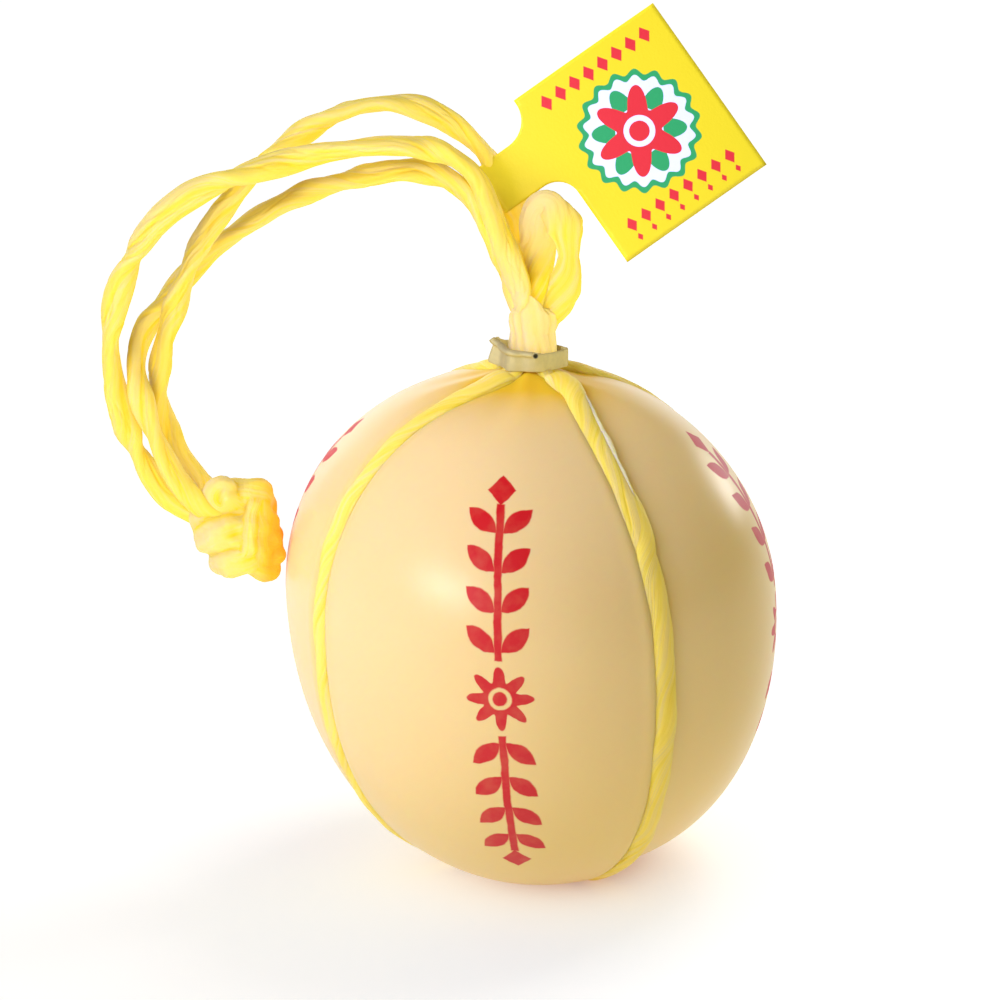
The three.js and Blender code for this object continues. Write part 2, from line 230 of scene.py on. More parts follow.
KNOT_TURNS = (
    KnotTurn(0.0074, ((-0.0052, 0.0006, 0.0036), (-0.0012, 0.0004, 0.0008), (0.0030, 0.0004, -0.0032))),
    KnotTurn(
        0.0023,
        (
            (0.0002, -0.0010, 0.0060),
            *round_turn((-0.0042, -0.0056, 0.0106), 0.0019, rad(-20), rad(-330), 0.0010),
            (-0.0036, -0.0010, 0.0070),
        ),
    ),
    KnotTurn(
        0.0031,
        (
            (-0.0050, 0.0010, 0.0080), (-0.0014, -0.0012, 0.0094), (0.0026, -0.0020, 0.0097),
            (0.0052, -0.0014, 0.0091), (0.0052, 0.0014, 0.0066), (0.0036, 0.0040, 0.0020),
        ),
    ),
    KnotTurn(
        0.0044,
        (
            (0.0010, -0.0030, 0.0014), (-0.0030, -0.0056, 0.0012), (-0.0058, -0.0046, -0.0002),
            (-0.0064, -0.0010, -0.0012), (-0.0050, 0.0034, -0.0004), (0.0004, 0.0044, 0.0012),
        ),
    ),
    KnotTurn(
        0.0042,
        (
            (0.0036, -0.0026, -0.0050), (0.0002, -0.0050, -0.0062), (-0.0026, -0.0042, -0.0068),
            (-0.0026, 0.0002, -0.0078), (0.0, 0.0034, -0.0070), (0.0032, 0.0038, -0.0046),
        ),
    ),
    KnotTurn(
        0.0016,
        (
            (0.0044, -0.0010, 0.0092), (0.0042, -0.0050, 0.0080), (0.0032, -0.0068, 0.0044),
            (0.0028, -0.0076, 0.0004), (0.0024, -0.0074, -0.0030), (0.0004, -0.0052, -0.0058),
        ),
    ),
    KnotTurn(
        0.0031,
        (
            (0.0040, 0.0014, 0.0076), (0.0050, -0.0026, 0.0068), (0.0056, -0.0042, 0.0028),
            (0.0056, -0.0046, -0.0022), (0.0054, -0.0038, -0.0062), (0.0052, -0.0004, -0.0082),
            (0.0054, 0.0036, -0.0060), (0.0058, 0.0046, -0.0006), (0.0054, 0.0034, 0.0052),
            (0.0044, 0.0004, 0.0068),
        ),
    ),
    KnotTurn(
        0.0030,
        (
            (0.0024, -0.0024, -0.0066), (0.0050, -0.0040, -0.0084), (0.0066, -0.0020, -0.0088),
            (0.0058, 0.0024, -0.0074),
        ),
    ),
    KnotTurn(
        0.0033,
        (
            (0.0046, -0.0014, 0.0040), (0.0068, -0.0030, 0.0016), (0.0072, -0.0026, -0.0022),
            (0.0062, 0.0006, -0.0056),
        ),
    ),
    KnotTurn(0.0022, ((0.0040, -0.0030, 0.0004), (0.0066, -0.0044, -0.0002), (0.0080, -0.0050, -0.0008))),
    KnotTurn(0.0023, ((0.0040, -0.0026, -0.0034), (0.0072, -0.0036, -0.0050), (0.0092, -0.0040, -0.0056))),
    KnotTurn(0.0022, ((0.0036, -0.0022, -0.0058), (0.0066, -0.0032, -0.0082), (0.0080, -0.0036, -0.0094))),
)

# Hollows between the knot's turns: a point on each, its spread as an angle and its depth
KNOT_HOLLOWS = (
    ((-0.0052, -0.0075, 0.0102), rad(8), 0.0014),
    ((0.0043, -0.0050, 0.0100), rad(8), 0.0008),
    ((-0.0007, -0.0080, 0.0015), rad(12), 0.0014),
    ((0.0029, -0.0050, -0.0087), rad(9), 0.0008),
)

# Card tag: its outline, and where its top left corner sits
TAG_SIZE = (0.0405, 0.0471)
TAB_FROM = 0.0081
TAB_TO = 0.0209
TAB_LENGTH = 0.017
TAB_ARC_TOP = 0.0072
TAB_ARC_BOTTOM = 0.0058
TAG_CORNER = (-0.0043, 0.0114, 0.1889)
TAG_TILT = rad(70)
TAG_TURN = rad(35.2)


def length_setting(name, description, default):
    """A size in metres that a user can change."""
    return FloatProperty(name=name, description=description, default=default, unit="LENGTH")


def angle_setting(name, description, default):
    return FloatProperty(name=name, description=description, default=default, subtype="ANGLE")


def power_setting(name, description, default):
    """A lamp's power in watts."""
    return FloatProperty(name=name, description=description, default=default, subtype="POWER")


def colour_setting(name, description, default):
    return FloatVectorProperty(name=name, description=description, default=default, subtype="COLOR")


class CheeseSettings(bpy.types.PropertyGroup):
    """Sizes and colours of the ball of cheese."""

    radius: length_setting("Radius", "Half the ball's width at its widest level", 0.060)
    rise: length_setting("Rise", "Height of the crown above the widest level", 0.0566)
    drop: length_setting("Drop", "Depth of the egg below the widest level", 0.0715)
    widest: length_setting("Widest level", "Height of the widest level above the ground", 0.068)
    lean: angle_setting("Lean", "How far the ball leans to the left", rad(2.4))
    lobe_depth: length_setting("Lobe depth", "How far the valleys between the lobes go in", 0.0018)
    groove_depth: length_setting("Groove depth", "How far the twine presses into the skin", 0.0019)
    skin: colour_setting("Skin", "Cream colour of the skin", (0.82, 0.575, 0.168))
    # Deep skin is the colour of the painted shade in the grooves and at the crown
    deep: colour_setting("Deep skin", "Skin colour in the grooves and at the crown", (0.83, 0.48, 0.010))
    ink: colour_setting("Ink", "Red ink of the stamped ornament", (0.60, 0.005, 0.006))


class TwineSettings(bpy.types.PropertyGroup):
    """Sizes and colours of the flat-film twine."""

    width: length_setting("Width", "Width of a twisted strand", 0.0052)
    pitch: length_setting("Pitch", "Length of one full turn of the twist", 0.062)
    film: colour_setting("Film", "Yellow of the film", (0.80, 0.605, 0.072))
    # The fold colour is painted shade in the film's creases and valleys, mixed with a random tone
    fold: colour_setting("Fold", "Golden yellow in the folds", (0.86, 0.60, 0.011))
    # The pale film colour also paints light onto the knot's left side, where the key lamp falls
    pale: colour_setting("Pale film", "Cream of the stretched film", (0.765, 0.585, 0.23))
    # A brighter copy of the film for the cords on the ball: painted light in place of the lamps that only the
    # hanging twine gets
    tight: colour_setting("Tight film", "Yellow of the cords on the ball", (0.97, 0.69, 0.082))
    # The film edge colour is a painted highlight along the turned-up edge of the front right cord
    edge: colour_setting("Film edge", "Pale cream of a turned-up film edge", (0.97, 0.75, 0.27))
    # Orange that the knot takes towards its right side and its cut ends, less at its top
    scorched: colour_setting("Cut end", "Orange of the cut ends", (0.98, 0.37, 0.014))


class BandSettings(bpy.types.PropertyGroup):
    """Sizes and colour of the crimped band."""

    height: length_setting("Height", "Height of the metal strip", 0.0044)
    wall: length_setting("Wall", "Thickness of the metal strip", 0.0008)
    # The metal's yellow-olive is partly the aluminium's own and partly painted reflection of the yellow twine
    # round it
    metal: colour_setting("Metal", "Colour of the aluminium", (0.585, 0.48, 0.157))


class TagSettings(bpy.types.PropertyGroup):
    """Sizes and colours of the card tag."""

    thickness: length_setting("Thickness", "Thickness of the card", 0.0005)
    bow: length_setting("Bow", "How far the card bows out in the middle", 0.0009)
    ground: colour_setting("Ground", "Yellow of the card", (0.96, 0.74, 0.014))
    leaf: colour_setting("Leaf", "Green print", (0.035, 0.40, 0.09))
    blank: colour_setting("Blank", "White print", (0.90, 0.90, 0.88))
    flower: colour_setting("Flower", "Red print", (0.85, 0.035, 0.032))


class StageSettings(bpy.types.PropertyGroup):
    """Camera, lights and floor."""

    lens: FloatProperty(name="Lens", description="Focal length of the camera", default=180.0, unit="CAMERA")
    distance: length_setting("Distance", "From the ball's middle to the camera", 1.2195)
    elevation: angle_setting("Elevation", "How far the camera looks down", rad(20))
    key: power_setting("Key", "Power of the large light at the front left", 22.0)
    back: power_setting("Back", "Power of the light at the back right", 3.6)
    glint: power_setting("Glint", "Power of the long light that glints on the front", 6.0)
    gloss: power_setting("Gloss", "Power of the low light that glints on the right lobe", 2.5)
    drape: power_setting("Drape", "Power of the large light on the hanging twine", 17.5)
    fill: power_setting("Fill", "Power of the soft light under the hanging twine", 13.5)
    backdrop: power_setting("Backdrop", "Power of the white wall that the skin mirrors", 4.0)
    surround: FloatProperty(name="Surround", description="Strength of the white surroundings", default=0.16)


class CaciocavalloSettings(bpy.types.PropertyGroup):
    """All the settings of the object and its stage."""

    cheese: PointerProperty(type=CheeseSettings)
    twine: PointerProperty(type=TwineSettings)
    band: PointerProperty(type=BandSettings)
    tag: PointerProperty(type=TagSettings)
    stage: PointerProperty(type=StageSettings)


class Signal:
    """An output socket of a material. Arithmetic on a value adds Math nodes."""

    def __init__(self, finish, socket):
        self.finish = finish
        self.socket = socket

    def math(self, operation, *terms):
        return self.finish.add("ShaderNodeMath", {"operation": operation}, dict(enumerate(terms)))

    def __add__(self, other):
        return self.math("ADD", self, other)

    def __sub__(self, other):
        return self.math("SUBTRACT", self, other)

    def __rsub__(self, other):
        return self.math("SUBTRACT", other, self)

    def __mul__(self, other):
        return self.math("MULTIPLY", self, other)

    def __truediv__(self, other):
        return self.math("DIVIDE", self, other)

    def __rtruediv__(self, other):
        return self.math("DIVIDE", other, self)

    def __pow__(self, other):
        return self.math("POWER", self, other)

    def __mod__(self, other):
        return self.math("FLOORED_MODULO", self, other)

    def __abs__(self):
        return self.math("ABSOLUTE", self)

    __radd__ = __add__
    __rmul__ = __mul__

    def cosine(self):
        return self.math("COSINE", self)

    def sine(self):
        return self.math("SINE", self)

    def at_least(self, other):
        return self.math("MAXIMUM", self, other)

    def at_most(self, other):
        return self.math("MINIMUM", self, other)

    def within(self, most=1.0):
        """The value, held between 0 and the most that it may be."""
        return self.at_least(0.0).at_most(most)

    def inside(self, softness):
        """1 where the value is above zero and 0 below it, with a soft edge of that width."""
        return (self / softness + 0.5).within()


# Sockets of a Mix node that mixes colours: its share, its two colours and its result
MIX_SHARE = 0
MIX_FIRST = 6
MIX_SECOND = 7
MIX_RESULT = 2


class Finish:
    """A procedural material with one Principled shader."""

    def __init__(self, name, **constants):
        self.material = bpy.data.materials.new(name)
        self.material.use_nodes = True
        self.tree = self.material.node_tree
        self.shader = self.tree.nodes["Principled BSDF"]
        for socket, value in constants.items():
            self.feed(socket.replace("_", " "), value)

    def put(self, socket, value):
        if isinstance(value, Signal):
            self.tree.links.new(value.socket, socket)
        elif isinstance(value, (int, float)):
            socket.default_value = value
        else:
            size = len(socket.default_value)
            socket.default_value = tuple(value) + (1.0,) * (size - len(value))

    def add(self, kind, settings, sockets, output=0):
        """A node of that type, with its settings made first and then its sockets' values or links."""
        node = self.tree.nodes.new(kind)
        for name, value in settings.items():
            setattr(node, name, value)
        for key, value in sockets.items():
            self.put(node.inputs[key], value)
        return Signal(self, node.outputs[output])

    def feed(self, socket, value):
        """Sets or links a socket of the material's shader."""
        self.put(self.shader.inputs[socket], value)

    def blend(self, share, first, second):
        """A colour that goes from the first to the second as the share goes from 0 to 1."""
        sockets = {MIX_SHARE: share, MIX_FIRST: first, MIX_SECOND: second}
        return self.add("ShaderNodeMix", {"data_type": "RGBA"}, sockets, MIX_RESULT)

    def attribute(self, name):
        return self.add("ShaderNodeAttribute", {"attribute_name": name}, {}, "Fac")

    def map_point(self, name):
        """The two coordinates of a UV map."""
        point = self.add("ShaderNodeUVMap", {"uv_map": name}, {})
        return tuple(self.add("ShaderNodeSeparateXYZ", {}, {0: point}, axis) for axis in ("X", "Y"))

    def point(self, x, y, z):
        return self.add("ShaderNodeCombineXYZ", {}, {0: x, 1: y, 2: z})

    def place(self):
        """The surface's own coordinates, in metres."""
        return self.add("ShaderNodeTexCoord", {}, {}, "Object")

    def distance(self, place, centre):
        return self.add("ShaderNodeVectorMath", {"operation": "DISTANCE"}, {0: place, 1: centre}, "Value")

    def noise(self, place, scale, detail=2.0, roughness=0.5):
        sockets = {"Vector": place, "Scale": scale, "Detail": detail, "Roughness": roughness}
        return self.add("ShaderNodeTexNoise", {}, sockets)

    def bump(self, height, distance):
        self.feed("Normal", self.add("ShaderNodeBump", {}, {"Height": height, "Distance": distance}))


# Where a rosette's petals begin and its dot ends, as shares of its reach
ROSETTE_RING = 0.46
ROSETTE_DOT = 0.3

# Stamped ornament, in millimetres on the skin: a rosette with a garland above and below it
STAMP_AZIMUTH = rad(-7)
STAMP_MIDDLE = 96.5
STAMP_SOFT = 0.35
STAMP_WOBBLE = 0.9
ROSETTE_REACH = 6.2
ROSETTE_WAVE = 1.9
ROSETTE_PETALS = 8
GARLAND_FROM = 9.5
GARLAND_TO = 47.0
LEAF_PERIOD = 9.4
LEAF_PLACE = (4.1, 5.0)
LEAF_TILT = rad(42)
LEAF_HALF = (4.5, 2.3)
STEM_HALF = 0.95
FINIAL_PLACE = 50.6
FINIAL_HALF = (3.4, 4.0)


def garland(across, along):
    """Leaf pairs on a stem, with a lozenge at the end, that grow away from the rosette."""
    local = (along - GARLAND_FROM) % LEAF_PERIOD
    right = across - LEAF_PLACE[0]
    ahead = local - LEAF_PLACE[1]
    length = right * math.cos(LEAF_TILT) + ahead * math.sin(LEAF_TILT)
    width = abs(ahead * math.cos(LEAF_TILT) - right * math.sin(LEAF_TILT))
    leaf = LEAF_HALF[1] * (1.0 - (length / LEAF_HALF[0]) ** 2) - width
    marks = leaf.at_least(STEM_HALF - across)
    marks = marks.at_most(along - GARLAND_FROM).at_most(GARLAND_TO - along)
    lozenge = 1.0 - across / FINIAL_HALF[0] - abs(along - FINIAL_PLACE) / FINIAL_HALF[1]
    return marks.at_least(lozenge * FINIAL_HALF[0])


def rosette(across, along, reach, wave, petals):
    """A ring of petals round a dot, as a height above its own outline."""
    distance = (across * across + along * along) ** 0.5
    turn = along.math("ARCTAN2", along, across)
    ring = (reach + wave * (turn * petals).cosine() - distance).at_most(distance - reach * ROSETTE_RING)
    return ring.at_least(reach * ROSETTE_DOT - distance)


# Cheese skin: the scales of its noises and the shares of painted shade and cloudy tone that deepen its colour
CLOUD_SCALE = 26.0
FINE_SCALE = 240.0
WOBBLE_SCALE = 310.0
GRAIN_SCALE = 900.0
GROOVE_SHADE = 0.35
CROWN_GROOVE_SHADE = 0.5
CROWN_SHADE = 1.6
CLOUD_TINT = 0.24
INK_LEAST = 0.86
INK_GAIN = 0.25
SKIN_ROUGHNESS = 0.29
FINE_ROUGHNESS = 0.05
GRAIN_ROUGHNESS = 0.02
INK_ROUGHNESS = 0.15
SKIN_RELIEF = 0.0005
CLOUD_RELIEF = 0.7
FINE_RELIEF = 0.03
GRAIN_RELIEF = 0.004


def make_cheese_skin(cheese):
    """Waxy cream skin with painted shade in the grooves and at the crown, and a worn red stamp on each lobe.
    """
    skin = Finish(
        "Cheese skin",
        Subsurface_Weight=0.55,
        Subsurface_Radius=(1.0, 0.52, 0.2),
        Subsurface_Scale=0.004,
        Specular_IOR_Level=0.45,
    )
    place = skin.place()
    cloud = skin.noise(place, CLOUD_SCALE, detail=3.0)
    fine = skin.noise(place, FINE_SCALE, detail=3.0)
    grain = skin.noise(place, GRAIN_SCALE)
    crown = skin.attribute("crown")
    # Painted shade in the grooves and at the crown, with a random cloudy tone, deepens the skin
    groove = skin.attribute("groove") * (GROOVE_SHADE + CROWN_GROOVE_SHADE * crown)
    depth = (groove + crown * CROWN_SHADE + (cloud - 0.5) * CLOUD_TINT).within()
    colour = skin.blend(depth, cheese.skin, cheese.deep)
    across, along = skin.map_point("Stamp")
    across = abs(across + (fine - 0.5) * STAMP_WOBBLE)
    along = along - STAMP_MIDDLE + (skin.noise(place, WOBBLE_SCALE) - 0.5) * STAMP_WOBBLE
    flower = rosette(across, along, ROSETTE_REACH, ROSETTE_WAVE, ROSETTE_PETALS)
    stamp = garland(across, abs(along)).at_least(flower)
    ink = stamp.inside(STAMP_SOFT) * (INK_LEAST + INK_GAIN * fine).at_most(1.0)
    roughness = SKIN_ROUGHNESS + FINE_ROUGHNESS * fine + GRAIN_ROUGHNESS * grain + INK_ROUGHNESS * ink
    skin.feed("Base Color", skin.blend(ink, colour, cheese.ink))
    skin.feed("Roughness", roughness)
    skin.bump(cloud * CLOUD_RELIEF + fine * FINE_RELIEF + grain * GRAIN_RELIEF, SKIN_RELIEF)
    return skin.material


# Twine film: its fibres round the twine and along it, its folds of painted golden shade and its pale streaks
FIBRE_TURNS = 9.0
FIBRE_LENGTH = 55.0
BROAD_SCALE = 0.28
FOLD_CREASE = 0.6
FOLD_BELOW = 0.46
FOLD_GAIN = 2.5
STREAK_ABOVE = 0.52
STREAK_GAIN = 4.0
STREAK_MOST = 0.35
FILM_ROUGHNESS = 0.3
FIBRE_ROUGHNESS = 0.3
FILM_RELIEF = 0.0002
FIBRE_RELIEF = 0.6


def make_twine_film(twine):
    """Shiny, translucent yellow film with fine lengthwise fibres and painted golden shade in its folds."""
    film = Finish(
        "Twine film",
        Subsurface_Weight=0.6,
        Subsurface_Radius=(1.0, 0.85, 0.2),
        Subsurface_Scale=0.002,
        Specular_IOR_Level=0.25,
    )
    along, around = film.map_point("Twine")
    angle = around * TURN
    lengthwise = film.point(along * FIBRE_LENGTH, angle.cosine() * FIBRE_TURNS, angle.sine() * FIBRE_TURNS)
    fibre = film.noise(lengthwise, 1.0, detail=3.0, roughness=0.6)
    broad = film.noise(lengthwise, BROAD_SCALE)
    # Painted shade from the crease mark, with a random tone from the broad noise, gives the folds their golden
    # colour
    fold = (film.attribute("crease") * FOLD_CREASE + (FOLD_BELOW - broad) * FOLD_GAIN).within()
    streak = ((broad - STREAK_ABOVE) * STREAK_GAIN + (fibre - 0.5)).within(STREAK_MOST)
    # Painted light: a brighter copy of the film colour for the cords on the ball
    colour = film.blend(film.attribute("tight"), twine.film, twine.tight)
    colour = film.blend(fold, colour, twine.fold)
    # Pale film from stretching and streaks, and painted light on the knot's left side
    colour = film.blend(film.attribute("pale").at_least(streak), colour, twine.pale)
    # Painted highlight along the front right cord's turned-up film edge
    colour = film.blend(film.attribute("edge"), colour, twine.edge)
    colour = film.blend(film.attribute("warm"), colour, twine.scorched)
    film.feed("Base Color", colour)
    film.feed("Roughness", FILM_ROUGHNESS + FIBRE_ROUGHNESS * fibre)
    film.bump(fibre * FIBRE_RELIEF + broad, FILM_RELIEF)
    return film.material


# Band: its scuffs, its drawn lines along and across the strip, and its darker tones: dull scuffs and painted
# shade in the wire's mouth
SCUFF_SCALE = 900.0
LINES_ALONG = 60.0
LINES_ACROSS = 26.0
DULL_TONE = 0.72
HOLLOW_SHADE = 0.12
METAL_ROUGHNESS = 0.36
SCUFF_ROUGHNESS = 0.3
METAL_RELIEF = 0.0001
LINE_RELIEF = 0.4
SCUFF_RELIEF = 0.6


def make_band_metal(band):
    """Dull aluminium with drawn lines and small scuffs, and painted shade inside its wire's mouth."""
    metal = Finish("Band aluminium", Metallic=0.25)
    scuff = metal.noise(metal.place(), SCUFF_SCALE, detail=4.0)
    along, around = metal.map_point("Twine")
    lines = metal.noise(metal.point(along * LINES_ALONG, around * LINES_ACROSS, 0.0), 1.0)
    dull, hollow = (tuple(tone * channel for channel in band.metal) for tone in (DULL_TONE, HOLLOW_SHADE))
    colour = metal.blend(scuff, dull, band.metal)
    metal.feed("Base Color", metal.blend(metal.attribute("hollow"), colour, hollow))
    metal.feed("Roughness", METAL_ROUGHNESS + SCUFF_ROUGHNESS * scuff)
    metal.bump(lines * LINE_RELIEF + scuff * SCUFF_RELIEF, METAL_RELIEF)
    return metal.material


# Print of the tag, in millimetres from its top left corner
PRINT_MIDDLE = (20.25, 23.2)
PRINT_SOFT = 0.15
MEDALLION_REACH = 14.2
MEDALLION_WAVE = 0.7
MEDALLION_SCALLOPS = 18
MEDALLION_RIM = 1.5
FLOWER_REACH = 8.2
FLOWER_WAVE = 2.8
FLOWER_PETALS = 6
SPRIG_REACH = 8.6
SPRIG_FROM = 5.74
BORDER_LEVELS = (5.0, 40.4, 43.9)
BORDER_SIZES = (1.5, 1.35, 0.7)
BORDER_ENDS = (4.0, 36.4)
LOZENGE_PERIOD = 4.05
LOZENGE_SLOPE = 0.7

# Surface of the card
CARD_SCALE = 1500.0
CARD_ROUGHNESS = 0.34
CARD_GRAIN = 0.14
CARD_RELIEF = 0.00004


def make_tag_card(tag):
    """Coated yellow card with a plain flower medallion between rows of lozenges."""
    card = Finish("Tag card", Specular_IOR_Level=0.4)
    across, along = card.map_point("Print")
    right = across - PRINT_MIDDLE[0]
    ahead = along - PRINT_MIDDLE[1]
    distance = (right * right + ahead * ahead) ** 0.5
    turn = ahead.math("ARCTAN2", ahead, right)
    rim = MEDALLION_REACH + MEDALLION_WAVE * (turn * MEDALLION_SCALLOPS).cosine() - distance
    flower = rosette(right, ahead, FLOWER_REACH, FLOWER_WAVE, FLOWER_PETALS)
    sprig = rosette(right, ahead, SPRIG_REACH, -FLOWER_WAVE, FLOWER_PETALS).at_most(distance - SPRIG_FROM)
    prints = [(rim, tag.leaf), (rim - MEDALLION_RIM, tag.blank), (sprig, tag.leaf), (flower, tag.flower)]
    aside = abs((across % LOZENGE_PERIOD) - LOZENGE_PERIOD / 2)
    for level, size in zip(BORDER_LEVELS, BORDER_SIZES):
        lozenge = size - aside - abs(along - level) * LOZENGE_SLOPE
        prints.append((lozenge.at_most(across - BORDER_ENDS[0]).at_most(BORDER_ENDS[1] - across), tag.flower))
    colour = tag.ground
    for height, ink in prints:
        colour = card.blend(height.inside(PRINT_SOFT), colour, ink)
    grain = card.noise(card.place(), CARD_SCALE, detail=3.0)
    card.feed("Base Color", colour)
    card.feed("Roughness", CARD_ROUGHNESS + CARD_GRAIN * grain)
    card.bump(grain, CARD_RELIEF)
    return card.material


# Floor: its white, and the soft patches of painted shadow that dim it round the object and darken it at the
# foot, each with its centre, its reach and the power of its edge; painted orange light from the cheese warms
# the foot's shadow
FLOOR_PAINT = ((0.89, 0.89, 0.89), (0.91, 0.91, 0.91))
FLOOR_GLOW = (1.0, 0.99, 0.99)
FLOOR_SCALE = 2.0
SHADOW_PATCH = ((-0.012, -0.015, 0.0), 0.075, 4)
SHADOW_GLOW = (0.745, 0.82, 0.91)
FOOT_SHADOW_PATCH = ((0.008, -0.002, 0.0), 0.0212, 3.4)
FOOT_SHADOW_GLOW = (0.36, 0.16, 0.05)
FOOT_SHADOW_PAINT = (0.42, 0.30, 0.16)


def make_floor_paint():
    """White studio floor that glows so as to stay white, with painted shadow round the object and at its foot.
    """
    floor = Finish("Studio floor", Roughness=0.9, Specular_IOR_Level=0.0, Emission_Strength=0.77)
    place = floor.place()
    # Painted shadows: one dims the floor round the object, a darker one at the foot carries painted orange
    # light from the cheese
    near, foot = (
        1.0 / (1.0 + (floor.distance(place, centre) / reach) ** power)
        for centre, reach, power in (SHADOW_PATCH, FOOT_SHADOW_PATCH)
    )
    paint = floor.blend(floor.noise(place, FLOOR_SCALE), *FLOOR_PAINT)
    glow = floor.blend(near, FLOOR_GLOW, SHADOW_GLOW)
    floor.feed("Base Color", floor.blend(foot, paint, FOOT_SHADOW_PAINT))
    floor.feed("Emission Color", floor.blend(foot, glow, FOOT_SHADOW_GLOW))
    return floor.material


def unit(vectors):
    return vectors / np.linalg.norm(vectors, axis=-1, keepdims=True)


def bell(distance, reach):
    """1 at no distance, falling to nothing a few times as far off as the reach."""
    return np.exp(-((distance / reach) ** 2))


def both_ends(along, place, reach):
    """Bells at a place near the start of a line and as near its end."""
    return bell(along - place, reach) + bell(along[-1] - along - place, reach)


class Swing(NamedTuple):
    """How far a random line swings to either side, and the length of its swings."""

    amount: float
    length: float


WAVE_SHARES = (1.0, 0.61, 0.37)


def waves(along, swing, rng):
    """A smooth random line that swings about zero."""
    total = np.zeros_like(along)
    for share in WAVE_SHARES:
        total += share * np.sin(TURN * (along / (swing.length * share) + rng.random()))
    return swing.amount * (total / 2)


SPLINE_SAMPLES = 24


def smooth_route(points, step):
    """A smooth line through the points in even steps, and each step's distance along it."""
    knots = np.array(points, float)
    ends = np.vstack([2 * knots[0] - knots[1], knots, 2 * knots[-1] - knots[-2]])
    before, start, stop, after = (ends[k : len(ends) - 3 + k, None] for k in range(4))
    share = np.linspace(0, 1, SPLINE_SAMPLES, endpoint=False)[:, None]
    line = start + 0.5 * share * (
        stop - before
        + share * (2 * before - 5 * start + 4 * stop - after + share * (3 * (start - stop) + after - before))
    )
    line = np.vstack([line.reshape(-1, 3), knots[-1]])
    steps = np.linalg.norm(np.diff(line, axis=0), axis=1)
    length = np.concatenate([[0.0], np.cumsum(steps)])
    even = np.linspace(0, length[-1], max(round(length[-1] / step), 2) + 1)
    return np.column_stack([np.interp(even, length, line[:, k]) for k in range(3)]), even


def carried_sides(line, start=(0.0, 1.0, 0.0)):
    """Side and up vectors that are carried along a line without twist."""
    tangent = unit(np.gradient(line, axis=0))
    side = np.empty_like(line)
    last = np.array(start)
    for i, direction in enumerate(tangent):
        last = last - direction * (last @ direction)
        last = last / np.linalg.norm(last)
        side[i] = last
    return side, np.cross(tangent, side)


def facing_sides(line, towards):
    """Side vectors that face a point all along a line, and the up vectors square to them."""
    tangent = unit(np.gradient(line, axis=0))
    inward = np.array(towards) - line
    inward = unit(inward - tangent * np.sum(inward * tangent, axis=1, keepdims=True))
    return inward, np.cross(tangent, inward)


class Lay(NamedTuple):
    """How a length of twine is laid: half its width, its plies, its twist and its creases."""

    reach: float
    plies: int = 2
    ply_share: float = 0.72
    squash: float = 0.62
    pitch: float = 0.062
    flat: tuple = (1.0, 1.0)
    creases: int = 13
    crease_depth: float = 0.11
    crease_width: float = 0.13
    columns: int = 72
    step: float = 0.0005


def ply_reach(turn, plies, share):
    """Distance to the outside of a bundle of round plies, as a share of the bundle's reach."""
    offset = 1 - share
    turns = [turn - TURN * k / plies for k in range(plies)]
    return np.max([offset * np.cos(t) + np.sqrt(share**2 - (offset * np.sin(t)) ** 2) for t in turns], axis=0)


class Skin(NamedTuple):
    """Rings of points round a line, with their map coordinates and marks."""

    rings: np.ndarray
    along: np.ndarray
    around: np.ndarray
    marks: dict


# Twisted film: the random swings of its twist, width, lean and creases, and how deep its creases count in the
# painted shade of its folds
TWIST_SWING = Swing(0.9, 0.043)
WIDTH_SWING = Swing(0.10, 0.027)
LEAN_SWING = Swing(0.6, 0.017)
CREASE_SWING = Swing(0.5, 0.026)
FADE_SWING = Swing(0.45, 0.021)
FADE_MIDDLE = 0.55
LEAN = 0.06
PLY_PART = 0.4
CREASE_TURN = 40.0
CREASE_DEPTHS = (0.5, 1.0)
CREASE_WIDTHS = (0.7, 1.5)
CREASE_MARK = 0.7
VALLEY_REACH = 0.1
VALLEY_MARK = 0.5


def twist_film(line, along, sides, lay, seed, swell=1.0):
    """Twisted, creased film round a line: the plies turn once in each pitch."""
    rng = np.random.default_rng(seed)
    side, up = sides
    angle = np.linspace(0, TURN, lay.columns, endpoint=False)
    twist = TURN * (along / lay.pitch + rng.random()) + waves(along, TWIST_SWING, rng)
    turn = angle[None] - twist[:, None]
    oval = 1 / np.sqrt(np.cos(turn) ** 2 + (np.sin(turn) / lay.squash) ** 2)
    radius = PLY_PART * ply_reach(turn, lay.plies, lay.ply_share) + (1 - PLY_PART) * oval
    radius = radius * (1 + waves(along, WIDTH_SWING, rng))[:, None]
    radius = radius * (1 + LEAN * np.cos(turn + waves(along, LEAN_SWING, rng)[:, None]))
    crease = np.zeros_like(radius)
    for _ in range(lay.creases):
        wander = rng.random() * TURN + waves(along, CREASE_SWING, rng) + rng.normal(0, CREASE_TURN) * along
        away = (turn - wander[:, None] + math.pi) % TURN - math.pi
        fade = (FADE_MIDDLE + waves(along, FADE_SWING, rng)).clip(0, 1)[:, None]
        depth = fade * rng.uniform(*CREASE_DEPTHS)
        crease += depth * bell(away, lay.crease_width * rng.uniform(*CREASE_WIDTHS))
    radius = radius - lay.crease_depth * crease
    valley = bell(radius - radius.min(axis=1, keepdims=True), VALLEY_REACH)
    size = lay.reach * np.broadcast_to(swell, along.shape)[:, None]
    rings = line[:, None] + (size * radius)[..., None] * (
        lay.flat[0] * np.cos(angle)[None, :, None] * side[:, None]
        + lay.flat[1] * np.sin(angle)[None, :, None] * up[:, None]
    )
    around = (np.linspace(0, TURN, lay.columns + 1)[None] - twist[:, None]) / TURN
    # The crease mark paints shade into the creases and into the valleys between the plies
    return Skin(rings, along, around, {"crease": (crease * CREASE_MARK + valley * VALLEY_MARK).clip(0, 1)})


